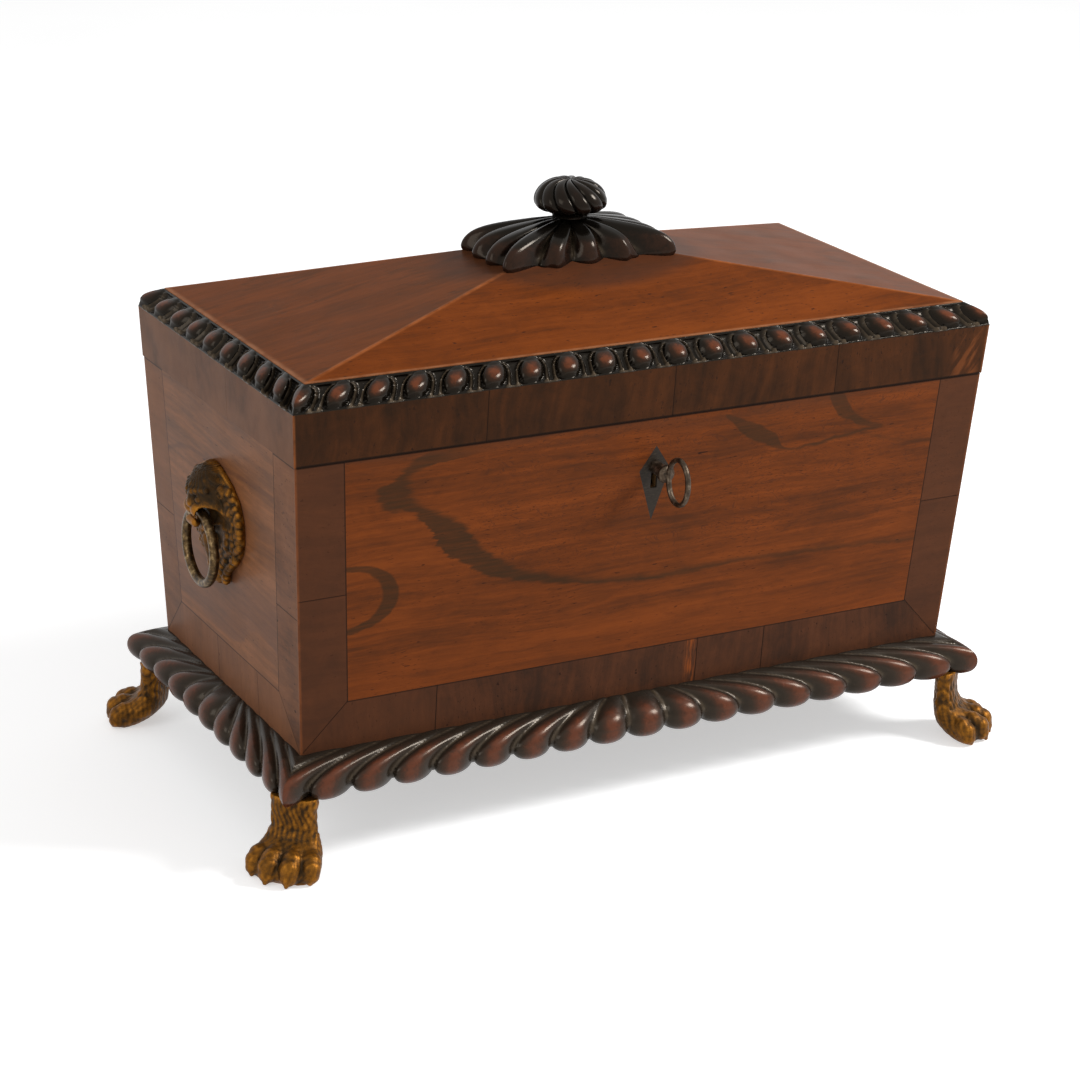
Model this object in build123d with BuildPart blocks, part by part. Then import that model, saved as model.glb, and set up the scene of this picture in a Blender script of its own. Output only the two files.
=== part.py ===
from build123d import *
import os
from math import acos, asin, atan, atan2, cos, degrees, hypot, pi, sin, sqrt

os.makedirs("parts", exist_ok=True)

# Box: height of its underside, height of its sides, half sizes at the underside
base_z = 45.1
box_h = 122.9
base_half_w = 152.95
base_half_d = 71.55

# Lean of the sides: how much wider each half is at the top of the lid sides
flare_w = 7.05
flare_d = 8.75

# Joint between box and lid, and height of the lid sides
joint_gap = 0.3
lid_proud = 0.4
frieze_h = 21.5

# Wood thicknesses and fits
veneer_t = 1.2
board_t = 10.0
bottom_t = 8.0
hairline = 0.1
loose_fit = 0.5
slide_fit = 0.08
pin_fit = 0.03
screw_fit = 0.05

# Crossbanding round the panels
band_w = 20.8
band_h = 20.5
front_rail_joints = (-94.0, 28.0, 61.0)
end_rail_joints = (-30.0, 12.0)
front_stile_joint_up = 66.9
end_stile_joint_up = 58.9
frieze_joints = (-78.0, 6.0, 84.0)
end_frieze_joint = 14.0

# Roof of the lid: four hips that rise to the middle
roof_rise = 25.3
roof_veneer_t = 1.25
apex_scale = 0.02
lining_t = 2.0

# Base moulding with leaning lobes, depths measured down from the underside of the box
base_moulding_h = 14.1
base_rail_in = 14.0
lobe_r = 7.2
lobe_out = 6.8
lobe_down = 7.7
corner_lobe_r = 7.6
corner_lobe_out = 6.4
lobe_tail_r = 1.7
lobe_tail_out = 0.8
lobe_tail_down = 1.9
lobe_lean = 20.0
lean_lobes = 3
front_lobes = 8
end_lobes = 4
# core of the moulding: distance out from the face, depth
core_profile = ((0.0, 0.0), (1.2, 0.7), (8.0, 4.6), (11.3, 8.1), (10.5, 12.1), (8.5, base_moulding_h))

# Lid edge moulding with upright beads
edge_w = 8.5
edge_h = 9.1
edge_core = 0.78
bead_r = 5.0
bead_reach = 0.6
front_beads = 18
end_beads = 8

# Finial: domed rosette with square corners, and a squashed knob
# lobes in one quarter of the rosette: end along the lid, end across it, radius
rosette_lobes = ((36.9, 5.8, 5.2), (35.5, 17.3, 6.0), (17.8, 13.6, 7.0), (0.0, 13.6, 7.0))
rosette_tail_r = 2.4
rosette_tail_out = 5.5
rosette_core_half_w = 30.0
rosette_core_half_d = 13.0
rosette_core_deep = 6.0
rosette_eye_r = 9.0
knob_seat_up = 9.6
knob_h = 15.1
knob_r = 15.5
knob_half_h = 7.2
knob_neck_r = 7.0
knob_foot_r = 8.0
knob_foot_t = 1.0
dowel_r = 4.0
dowel_len = 27.5

# Paw feet on the diagonals of the base
foot_past = 4.6
ankle_half_w = 9.5
ankle_half_d = 5.5
stud_r = 2.0
stud_down = 7.0
stud_up = 9.0
# heel and paw sections: height, shift outwards, half length, half width
paw_sections = (
    (base_z - base_moulding_h, 0.0, ankle_half_d, ankle_half_w),
    (22.0, 0.3, 6.2, 9.2),
    (13.0, 3.6, 8.6, 12.5),
    (6.0, 6.6, 9.6, 14.0),
    (0.0, 9.8, 7.4, 11.0),
)
toe_r = 4.4
toe_out = 17.6
toe_side = 4.5
side_toe_r = 4.2
side_toe_out = 12.6
side_toe_side = 12.2
toe_len = 8.0
toe_z = 5.2
toe_gather = 0.82

# Lock in the front board, depths measured back from the face
lock_half_w = 24.0
lock_out = 3.4
lock_shell = 1.2
lock_back = 10.0
lock_foot_t = 1.6
lock_plate_lap_w = 4.0
lock_plate_lap_h = 2.0
lock_cap_t = 1.5
lock_cap_lap = 3.0
lock_cap_out = 2.2

# Bolt and the two loops of the link plate that it runs into
bolt_rail_h = 2.8
bolt_end_gap = 2.1
bolt_finger_out = 6.5
bolt_finger_t = 1.6
bolt_finger_len = 7.0
bolt_post_w = 2.2
bolt_travel = 5.0
bolt_rest_gap = 0.5
bolt_loop_gap = 0.4
finger_gap = 0.3
loop_x = 12.0
loop_half_w = 1.2
loop_wall = 1.0
loop_drop = 8.6
loop_foot_t = 0.8
loop_window_h = 3.2
link_t = 1.5
link_half_w = 25.0

# Key: shank, bit, bow and the pin that it turns on
key_shank_r = 2.75
key_slot_w = 3.0
key_bit_reach = 8.6
key_bit_t = 2.0
bit_bolt_gap = 0.6
bit_side_gap = 1.0
bit_slot_gap = 0.9
bit_room_gap = 1.8
bit_room_side_gap = 0.8
key_tip_gap = 0.6
key_bore_deep = 7.4
drill_pin_r = 1.1
bow_out = 18.5
bow_half_h = 10.4
bow_half_w = 8.5
bow_wire = 2.6
key_collar_r = 3.9
key_collar_out = 8.6
key_collar_t = 1.6

# Kite-shaped escutcheon round the keyhole, heights measured from the key
kite_up = 9.0
kite_wide_down = 1.5
kite_down = 23.5
kite_half_w = 7.2

# Countersunk wood screws, all alike
screw_head_r = 1.9
screw_head_t = 0.9
screw_r = 1.0
screw_len = 8.0
lock_screw_up = 3.0
lock_screw_down = 7.0
link_screw_in = 6.0

# Butt hinges, let in from the back of the joint
hinge_in = 57.95
leaf_half_l = 20.0
leaf_t = 1.3
leaf_w = 8.3
leaf_back_in = 1.0
hinge_pin_out = 1.9
knuckle_r = 2.2
hinge_pin_r = 1.0
knuckle_split = 7.0
knuckle_gap = 0.1
leaf_screw_in = 3.2
leaf_screw_x = 14.0

# Lion masks and rings on the ends
mask_down = 48.5
mask_half_w = 27.0
mask_half_h = 26.0
mask_plate_t = 2.2
mane_locks = 14
mane_r = 4.6
face_r = 24.0
face_rise = 6.5
face_up = 3.0
brow_x = 5.2
brow_up = 13.5
brow_out = 6.5
brow_r = 4.6
ear_x = 15.5
ear_up = 17.0
ear_out = 2.0
ear_r = 4.8
crest_up = 17.5
crest_out = 5.0
crest_r = 6.5
muzzle_r = 6.3
muzzle_half_l = 5.0
snout_t = 7.0
ring_axis_up = 6.0
snout_up = 7.0
ring_out = 9.0
ring_r = 15.0
ring_wire_r = 2.0
mouth_r = 3.1
mask_pin_r = 0.9
mask_pin_head_r = 1.5
mask_pin_x = 18.5
mask_pin_v = 1.0
mask_pin_top = 4.2
mask_pin_deep = 8.0

# Inside fittings: partitions, ledges, well board and floor linings
floor_lining_t = 0.6
partition_t = 5.0
ledge_down = 26.0
ledge_t = 5.0
well_r = 47.5
well_margin = 4.5

# Glass mixing bowl that hangs by its rim in the well board
bowl_gap = 1.0
bowl_rim_lap = 3.0
bowl_rim_t = 3.0
bowl_wall = 3.0
bowl_deep = 81.0
bowl_foot_r = 24.0
bowl_foot_h = 4.0
bowl_shoulder_in = 8.0
bowl_shoulder_up = 16.0
bowl_side_up = 50.0
bowl_hollow_in = 12.0
bowl_hollow_up = 20.0
bowl_hollow_side_up = 52.0
bowl_floor_t = 9.0

# Tea canisters, which fill the compartments at both ends
canister_end_gap = 2.75
canister_side_gap = 3.35
canister_wall = 4.0
canister_floor = 5.0
canister_gap = 1.0
canister_ledge_gap = 0.8
canister_lid_t = 5.0
canister_plug_t = 5.0
canister_plug_gap = 0.3
canister_knob_r = 6.0
canister_knob_h = 9.0
canister_knob_half_h = 3.6
canister_neck_r = 3.4
canister_spigot_r = 2.5
canister_spigot_deep = 4.0

# Heights and half sizes of the box and the lid that follow from the ones above
joint_z = base_z + box_h
box_top_z = joint_z - joint_gap / 2
lid_low_z = joint_z + joint_gap / 2
frieze_top_z = joint_z + frieze_h
roof_edge_z = frieze_top_z + edge_h
roof_apex_z = roof_edge_z + roof_rise
frieze_half_w = base_half_w + flare_w
frieze_half_d = base_half_d + flare_d
roof_half_w = frieze_half_w + lid_proud - edge_w
roof_half_d = frieze_half_d + lid_proud - edge_w - hairline
slope_w = flare_w / (frieze_top_z - base_z)
slope_d = flare_d / (frieze_top_z - base_z)
wall_in = veneer_t + board_t
front_stile_joint_z = base_z + front_stile_joint_up
end_stile_joint_z = base_z + end_stile_joint_up

# Heights of the moulding, the finial and the end fittings
base_low_z = base_z - base_moulding_h
lobe_z = base_z - lobe_down
lobe_tail_z = base_z - lobe_tail_down
knob_seat_z = roof_apex_z + knob_seat_up
knob_top_z = knob_seat_z + knob_h
dowel_low_z = knob_seat_z - dowel_len
mask_z = joint_z - mask_down
ring_axis_z = mask_z + ring_axis_up

# Lock, from the loops of the lid down to the bolt, the key and its slot
loop_low_z = joint_z - loop_drop
loop_window_low_z = loop_low_z + loop_foot_t
loop_window_top_z = loop_window_low_z + loop_window_h
loop_window_out = bolt_finger_out - finger_gap
loop_window_in = bolt_finger_out + bolt_finger_t + finger_gap
loop_out = loop_window_out - loop_wall
loop_in = loop_window_in + loop_wall
bolt_finger_low_z = loop_window_low_z + finger_gap
bolt_finger_top_z = loop_window_top_z - finger_gap
bolt_low_z = loop_low_z - bolt_loop_gap - bolt_rail_h
bolt_start = lock_shell - lock_half_w + loose_fit
bolt_end = lock_half_w - lock_shell - bolt_travel - bolt_end_gap
key_z = bolt_low_z - bit_bolt_gap - key_bit_reach
key_slot_low_z = key_z - key_bit_reach - bit_slot_gap
key_bit_out = lock_out + lock_shell + bit_side_gap
key_bit_in = lock_back - bit_side_gap
key_tip = lock_back - key_tip_gap
bit_room_half_w = key_bit_reach + bit_room_side_gap
bit_room_low_z = key_z - key_bit_reach - bit_room_gap
lock_low_z = bit_room_low_z - lock_foot_t
lock_plate_low_z = lock_low_z - lock_plate_lap_h
lock_plate_half_w = lock_half_w + lock_plate_lap_w
lock_cap_half_w = lock_half_w + lock_cap_lap
lock_screw_x = (lock_half_w + lock_plate_half_w) / 2
lock_screw_heights = (lock_low_z + lock_screw_up, joint_z - lock_screw_down)
link_screw_x = link_half_w - link_screw_in
kite_top_z = key_z + kite_up
kite_wide_z = key_z - kite_wide_down
kite_low_z = key_z - kite_down

# Hinges, from the back of the lid sides
hinge_x = base_half_w - hinge_in
leaf_back_y = frieze_half_d - leaf_back_in
leaf_front_y = leaf_back_y - leaf_w
hinge_pin_y = frieze_half_d + hinge_pin_out
leaf_screw_y = leaf_front_y + leaf_screw_in

# Inside fittings, from the well in the middle out to the end boards
ledge_z = joint_z - ledge_down
partition_in_x = well_r + well_margin
partition_out_x = partition_in_x + partition_t
bowl_rim_r = well_r + bowl_rim_lap
canister_w = base_half_w - wall_in - canister_end_gap - partition_out_x - canister_gap
canister_d = 2 * (base_half_d - wall_in - canister_side_gap)

# Shift that puts the middle of the whole depth, key included, at the origin
key_front_y = base_half_d + (key_z - base_z) * slope_d + (bow_out + bow_half_w) * cos(atan(slope_d))
foot_back_y = base_half_d + foot_past + (side_toe_out + side_toe_side) / sqrt(2) + side_toe_r
origin_shift_y = (key_front_y - foot_back_y) / 2

# Directions along and out of each side
outward = {
    "front": ((1, 0), (0, -1)),
    "back": ((-1, 0), (0, 1)),
    "left": ((0, -1), (-1, 0)),
    "right": ((0, 1), (1, 0)),
}


def half_w(z):
    """Half width of the tapered body at a height."""
    return base_half_w + (z - base_z) * slope_w


def half_d(z):
    """Half depth of the tapered body at a height."""
    return base_half_d + (z - base_z) * slope_d


def across(side, z):
    """Distance from the middle to the face of one side."""
    return half_d(z) if side in ("front", "back") else half_w(z)


def along(side, z):
    """Half length of one side."""
    return half_w(z) if side in ("front", "back") else half_d(z)


def place(side, u, n):
    """Plan position from the distance along a side and the distance out from the middle."""
    (ux, uy), (nx, ny) = outward[side]
    return (u * ux + n * nx, u * uy + n * ny)


def face_plane(side):
    """Upright plane through the middle, seen from outside one side."""
    (ux, uy), (nx, ny) = outward[side]
    return Plane(origin=(0, 0, 0), x_dir=(ux, uy, 0), z_dir=(nx, ny, 0))


def profile_plane(side):
    """Upright plane square to one side: its x runs outwards and its y runs up."""
    (ux, uy), (nx, ny) = outward[side]
    return Plane(origin=(0, 0, 0), x_dir=(nx, ny, 0), z_dir=(-ux, -uy, 0))


def slab(side, outer, inner, z_low, z_high, butt=None, span=None, proud=0.0, trim=0.0, mode=Mode.ADD):
    """Board along one side between two depths under its leaning face, mitred if not butted."""
    sections = []
    for z in (z_low, z_high):
        reach = along(side, z) + proud
        points = []
        for depth, order in ((outer, (-1, 1)), (inner, (1, -1))):
            inset = depth if butt is None else butt
            for end in order:
                u = end * (reach - inset - trim)
                if span is not None:
                    u = span[0] if end < 0 else span[1]
                points.append(place(side, u, across(side, z) + proud - depth))
        with BuildSketch(Plane.XY.offset(z)) as outline:
            with BuildLine():
                Polyline(points, close=True)
            make_face()
        sections.append(outline.sketch.faces()[0])
    loft(sections, ruled=True, mode=mode)


def face_window(side, outlines, mode=Mode.INTERSECT):
    """Keep, or cut, what lies behind flat outlines drawn on one side."""
    with BuildSketch(face_plane(side)) as window:
        for outline in outlines:
            with BuildLine():
                Polyline(outline, close=True)
            make_face()
    extrude(window.sketch, amount=2 * base_half_w, mode=mode)


def mitre_block(side, inner, outer, z_low, z_high, half_a, half_b):
    """Keep a length of moulding between the two mitres and two heights."""
    points = [
        place(side, inner - half_a, half_b - inner),
        place(side, half_a - inner, half_b - inner),
        place(side, half_a + outer, half_b + outer),
        place(side, -half_a - outer, half_b + outer),
    ]
    with BuildSketch(Plane.XY.offset(z_low)) as block:
        with BuildLine():
            Polyline(points, close=True)
        make_face()
    extrude(block.sketch, amount=z_high - z_low, mode=Mode.INTERSECT)


def teardrop(tail, nose, tail_r, nose_r):
    """Round body that swells from a small ball to a larger one, turned on its own length."""
    start = Vector(*tail)
    line = Vector(*nose) - start
    length = line.length
    lean = asin((nose_r - tail_r) / length)
    across_line = line.cross(Vector(0, 0, 1))
    if across_line.length < hairline:
        across_line = Vector(1, 0, 0)
    turn = Plane(origin=start, x_dir=line, z_dir=across_line)
    tail_turn = (pi / 2 - lean) / 2
    nose_turn = (pi / 2 + lean) / 2
    with BuildSketch(turn) as half:
        with BuildLine():
            ThreePointArc(
                (-tail_r, 0),
                (-tail_r * cos(tail_turn), tail_r * sin(tail_turn)),
                (-tail_r * sin(lean), tail_r * cos(lean)),
            )
            Line(
                (-tail_r * sin(lean), tail_r * cos(lean)),
                (length - nose_r * sin(lean), nose_r * cos(lean)),
            )
            ThreePointArc(
                (length - nose_r * sin(lean), nose_r * cos(lean)),
                (length + nose_r * cos(nose_turn), nose_r * sin(nose_turn)),
                (length + nose_r, 0),
            )
            Line((length + nose_r, 0), (-tail_r, 0))
        make_face()
    revolve(half.sketch, axis=Axis(turn.origin, turn.x_dir))


def turned_knob(seat_z, top_z, ball_r, half_h, neck_r, peg_r, peg_low_z):
    """Squashed ball on a straight neck, with a peg that runs down into its seat."""
    ball_steps = 8
    middle = top_z - half_h
    start = acos(neck_r / ball_r)
    turns = [(pi / 2 + start) * k / ball_steps - start for k in range(ball_steps + 1)]
    rise = (ball_r * sin(start), half_h * cos(start))
    with BuildSketch(Plane.XZ) as half:
        with BuildLine():
            Polyline(
                (0, top_z),
                (0, peg_low_z),
                (peg_r, peg_low_z),
                (peg_r, seat_z),
                (neck_r, seat_z),
                (neck_r, middle - half_h * sin(start)),
            )
            Spline([(ball_r * cos(t), middle + half_h * sin(t)) for t in turns], tangents=(rise, (-1, 0)))
        make_face()
    revolve(half.sketch, axis=Axis.Z)


def screw(head, gap=0.0, mode=Mode.ADD):
    """Countersunk screw, or its hole, let in from the plane of its head."""
    with BuildSketch(Plane(origin=head.origin, x_dir=head.x_dir, z_dir=head.y_dir)) as half:
        with BuildLine():
            Polyline(
                [
                    (0, 0),
                    (0, screw_len + gap),
                    (screw_r + gap, screw_len - screw_r + gap),
                    (screw_r + gap, screw_head_t),
                    (screw_head_r + gap, 0),
                ],
                close=True,
            )
        make_face()
    revolve(half.sketch, axis=Axis(head.origin, -head.z_dir), mode=mode)


def stepped_pin(face, x, y, gap=0.0, mode=Mode.ADD):
    """Mask pin with a thick head, or its hole, square to a face."""
    with Locations(face):
        with Locations((x, y, mask_pin_top / 2)):
            Cylinder(mask_pin_head_r + gap, mask_pin_top, mode=mode)
        with Locations((x, y, -mask_pin_deep / 2)):
            Cylinder(mask_pin_r + gap, mask_pin_deep + 2 * gap, mode=mode)


def export(name, builder):
    """Label one node, move it to the frame's origin and write its file."""
    node = builder.part.moved(Location((0, origin_shift_y, 0)))
    node.label = name
    export_step(node, f"parts/{name}.step")


# Planes of the leaning front and end faces
front_lean = atan(slope_d)
end_lean = atan(slope_w)
front_face = Plane(
    origin=(0, -half_d(key_z), key_z),
    x_dir=(1, 0, 0),
    z_dir=(0, -cos(front_lean), -sin(front_lean)),
)
left_face = Plane(
    origin=(-half_w(mask_z), 0, mask_z),
    x_dir=(0, -1, 0),
    z_dir=(-cos(end_lean), 0, -sin(end_lean)),
)


def keyhole(depth, mode=Mode.SUBTRACT):
    """Round hole with a slot under it, cut in from the front face."""
    slot_len = (key_z - key_slot_low_z) / cos(front_lean)
    with BuildSketch(front_face) as hole:
        Circle(key_shank_r + slide_fit)
        with Locations((0, -slot_len / 2)):
            Rectangle(key_slot_w, slot_len)
    extrude(hole.sketch, amount=-depth, mode=mode)


def keyhole_passage():
    """Keyhole through the full thickness in front of the lock."""
    keyhole(lock_out + lock_shell / 2)


def kite(mode):
    """Kite-shaped inlay through the front veneer."""
    outline = [
        (0, kite_top_z),
        (-kite_half_w, kite_wide_z),
        (0, kite_low_z),
        (kite_half_w, kite_wide_z),
    ]
    face_window("front", [outline], mode)


def screw_planes(kind):
    """Planes of the screw heads of one group."""
    planes = []
    if kind == "lock":
        for x in (-lock_screw_x, lock_screw_x):
            for z in lock_screw_heights:
                planes.append(
                    Plane(
                        origin=(x, -half_d(z) + wall_in, z),
                        x_dir=(1, 0, 0),
                        z_dir=(0, cos(front_lean), sin(front_lean)),
                    )
                )
    if kind in ("lower", "upper"):
        for hinge in (-hinge_x, hinge_x):
            for x in (-leaf_screw_x, 0, leaf_screw_x):
                up = 1 if kind == "lower" else -1
                z = box_top_z if kind == "lower" else lid_low_z
                planes.append(Plane(origin=(hinge + x, leaf_screw_y, z), x_dir=(1, 0, 0), z_dir=(0, 0, up)))
    if kind == "link":
        for x in (-link_screw_x, link_screw_x):
            y = -half_d(lid_low_z) + (lock_cap_out + wall_in - lid_proud) / 2
            planes.append(Plane(origin=(x, y, lid_low_z), x_dir=(1, 0, 0), z_dir=(0, 0, -1)))
    return planes


def leaf_recess(z):
    """Room for the two hinge leaves of one height."""
    with Locations((-hinge_x, 0, z), (hinge_x, 0, z)):
        with Locations((0, (leaf_front_y + hinge_pin_y) / 2, 0)):
            Box(2 * leaf_half_l, hinge_pin_y - leaf_front_y, leaf_t, mode=Mode.SUBTRACT)


def mask_pin_holes(face):
    """Holes for the two pins of one mask."""
    for x in (-mask_pin_x, mask_pin_x):
        stepped_pin(face, x, mask_pin_v, gap=screw_fit, mode=Mode.SUBTRACT)


# Carcase boards: front and back run through, the ends stand between them
with BuildPart() as carcase_front:
    slab("front", veneer_t, wall_in, base_z, box_top_z, butt=veneer_t)
    slab(
        "front", lock_out, lock_back, lock_low_z, box_top_z,
        span=(-lock_half_w, lock_half_w), mode=Mode.SUBTRACT,
    )
    slab(
        "front", lock_back, wall_in, lock_plate_low_z, box_top_z,
        span=(-lock_plate_half_w, lock_plate_half_w), mode=Mode.SUBTRACT,
    )
    slab(
        "front", lock_cap_out, wall_in, box_top_z - lock_cap_t, box_top_z,
        span=(-lock_cap_half_w, lock_cap_half_w), mode=Mode.SUBTRACT,
    )
    keyhole_passage()
    for head in screw_planes("lock"):
        screw(head, gap=screw_fit, mode=Mode.SUBTRACT)
export("carcase_front", carcase_front)

with BuildPart() as carcase_back:
    slab("back", veneer_t, wall_in, base_z, box_top_z, butt=veneer_t)
    leaf_recess(box_top_z - leaf_t / 2)
    for head in screw_planes("lower"):
        screw(head, gap=screw_fit, mode=Mode.SUBTRACT)
export("carcase_back", carcase_back)

with BuildPart() as carcase_left:
    slab("left", veneer_t, wall_in, base_z, box_top_z, butt=wall_in)
    mask_pin_holes(left_face)
export("carcase_left", carcase_left)

with BuildPart() as carcase_right:
    add(carcase_left.part, rotation=(0, 0, 180))
export("carcase_right", carcase_right)

with BuildPart() as bottom_board:
    with Locations((0, 0, base_z - bottom_t / 2)):
        Box(2 * (base_half_w - base_rail_in), 2 * (base_half_d - base_rail_in), bottom_t)
export("bottom_board", bottom_board)

# Veneers and crossbanding
panel_low_z = base_z + band_h


def panel_edge(side, z):
    """Half length of the panel inside the crossbanding."""
    return along(side, z) - band_w


def panel_outline(side):
    """Outline of the veneer panel of one side."""
    low = panel_edge(side, panel_low_z)
    top = panel_edge(side, box_top_z)
    return [(-low, panel_low_z), (low, panel_low_z), (top, box_top_z), (-top, box_top_z)]


def band_outlines(side, rail_joints, stile_joint_z):
    """Outlines of the crossbanding lengths of one side."""
    low = panel_edge(side, panel_low_z)
    corner = along(side, base_z)
    beyond = along(side, box_top_z) + band_w
    lower_left = (-low + hairline, -corner + hairline)
    edges = [lower_left]
    for joint in rail_joints:
        edges.append((joint - hairline / 2, joint - hairline / 2))
        edges.append((joint + hairline / 2, joint + hairline / 2))
    edges.append((low - hairline, corner - hairline))
    outlines = []
    for start, stop in zip(edges[0::2], edges[1::2]):
        outlines.append(
            [(start[0], panel_low_z), (start[1], base_z), (stop[1], base_z), (stop[0], panel_low_z)]
        )
    under = stile_joint_z - hairline / 2
    over = stile_joint_z + hairline / 2
    for end in (-1, 1):
        outlines.append(
            [
                (end * low, panel_low_z),
                (end * corner, base_z),
                (end * beyond, base_z),
                (end * beyond, under),
                (end * panel_edge(side, under), under),
            ]
        )
        outlines.append(
            [
                (end * panel_edge(side, over), over),
                (end * beyond, over),
                (end * beyond, box_top_z),
                (end * panel_edge(side, box_top_z), box_top_z),
            ]
        )
    return outlines


with BuildPart() as front_veneer:
    slab("front", 0, veneer_t, base_z, box_top_z)
    face_window("front", [panel_outline("front")])
    kite(Mode.SUBTRACT)
export("front_veneer", front_veneer)

with BuildPart() as front_crossbanding:
    slab("front", 0, veneer_t, base_z, box_top_z)
    face_window("front", band_outlines("front", front_rail_joints, front_stile_joint_z))
export("front_crossbanding", front_crossbanding)

with BuildPart() as left_veneer:
    slab("left", 0, veneer_t, base_z, box_top_z)
    face_window("left", [panel_outline("left")])
    mask_pin_holes(left_face)
export("left_veneer", left_veneer)

with BuildPart() as right_veneer:
    add(left_veneer.part, rotation=(0, 0, 180))
export("right_veneer", right_veneer)

with BuildPart(mode=Mode.PRIVATE) as left_band:
    slab("left", 0, veneer_t, base_z, box_top_z)
    face_window("left", band_outlines("left", end_rail_joints, end_stile_joint_z))

with BuildPart() as end_crossbanding:
    add(left_band.part)
    add(left_band.part, rotation=(0, 0, 180))
export("end_crossbanding", end_crossbanding)

with BuildPart() as back_veneer:
    slab("back", 0, veneer_t, base_z, box_top_z)
    leaf_recess(box_top_z - leaf_t / 2)
export("back_veneer", back_veneer)

with BuildPart() as escutcheon:
    slab("front", 0, veneer_t, base_z, box_top_z)
    kite(Mode.INTERSECT)
    keyhole(2 * veneer_t)
export("escutcheon", escutcheon)


def gadroon(side, lobes):
    """One length of base moulding with its leaning lobes and half of each corner lobe."""
    half_a = along(side, base_z)
    half_b = across(side, base_z)
    with BuildSketch(profile_plane(side)) as core:
        with BuildLine():
            Polyline(
                [(half_b - base_rail_in, base_low_z), (half_b - base_rail_in, base_z)]
                + [(half_b + out, base_z - down) for out, down in core_profile],
                close=True,
            )
        make_face()
    extrude(core.sketch, amount=half_a + 2 * lobe_out + lobe_r, both=True)
    pitch = (half_a + corner_lobe_out) / (lobes + 1)
    for k in range(-lobes, lobes + 1):
        lean = lobe_lean * max(-1, min(1, k / lean_lobes))
        tail = (*place(side, k * pitch - lean, half_b + lobe_tail_out), lobe_tail_z)
        nose = (*place(side, k * pitch, half_b + lobe_out), lobe_z)
        teardrop(tail, nose, lobe_tail_r, lobe_r)
    for end in (-1, 1):
        tail = (*place(side, end * (half_a + lobe_tail_out), half_b + lobe_tail_out), lobe_tail_z)
        nose = (*place(side, end * (half_a + corner_lobe_out), half_b + corner_lobe_out), lobe_z)
        teardrop(tail, nose, lobe_tail_r, corner_lobe_r)
    mitre_block(side, base_rail_in, 2 * lobe_out + lobe_r, base_low_z, base_z, half_a, half_b)


def stud_holes():
    """Holes for the foot studs in the mitres of the base moulding."""
    for x in (-1, 1):
        for y in (-1, 1):
            with Locations(
                (x * (base_half_w + foot_past), y * (base_half_d + foot_past), base_low_z + stud_up / 2)
            ):
                Cylinder(stud_r + pin_fit, stud_up + pin_fit, mode=Mode.SUBTRACT)


with BuildPart() as base_moulding_front:
    gadroon("front", front_lobes)
    stud_holes()
export("base_moulding_front", base_moulding_front)

with BuildPart() as base_moulding_back:
    add(base_moulding_front.part, rotation=(0, 0, 180))
export("base_moulding_back", base_moulding_back)

with BuildPart() as base_moulding_left:
    gadroon("left", end_lobes)
    stud_holes()
export("base_moulding_left", base_moulding_left)

with BuildPart() as base_moulding_right:
    add(base_moulding_left.part, rotation=(0, 0, 180))
export("base_moulding_right", base_moulding_right)

# Paw foot, drawn with its toes towards +X, then set on each diagonal
with BuildPart(mode=Mode.PRIVATE) as paw:
    for z, shift, half_length, half_width in paw_sections:
        with BuildSketch(Plane.XY.offset(z)):
            with Locations((shift, 0)):
                Ellipse(half_length, half_width)
    loft()
    for out, aside, r in ((toe_out, toe_side, toe_r), (side_toe_out, side_toe_side, side_toe_r)):
        for end in (-1, 1):
            teardrop(
                (out - toe_len, end * aside * toe_gather, toe_z + toe_len / 2),
                (out, end * aside, toe_z),
                r - hairline,
                r,
            )
    with Locations((0, 0, -stud_down)):
        Box(8 * ankle_half_w, 8 * ankle_half_w, 2 * stud_down, mode=Mode.SUBTRACT)
    with Locations((0, 0, base_low_z - stud_down / 2)):
        Cylinder(stud_r + pin_fit, stud_down + pin_fit, mode=Mode.SUBTRACT)

foot_places = (
    ("paw_foot_front_left", -1, -1),
    ("paw_foot_front_right", 1, -1),
    ("paw_foot_back_left", -1, 1),
    ("paw_foot_back_right", 1, 1),
)
for name, x, y in foot_places:
    turned = degrees(atan2(y, x))
    with BuildPart() as foot:
        corner = (x * (base_half_w + foot_past), y * (base_half_d + foot_past), 0)
        with Locations(Location(corner, (0, 0, turned))):
            add(paw.part)
    export(name, foot)

with BuildPart() as foot_studs:
    for name, x, y in foot_places:
        with Locations(
            (
                x * (base_half_w + foot_past),
                y * (base_half_d + foot_past),
                base_low_z + (stud_up - stud_down) / 2,
            )
        ):
            Cylinder(stud_r, stud_up + stud_down)
export("foot_studs", foot_studs)

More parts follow.
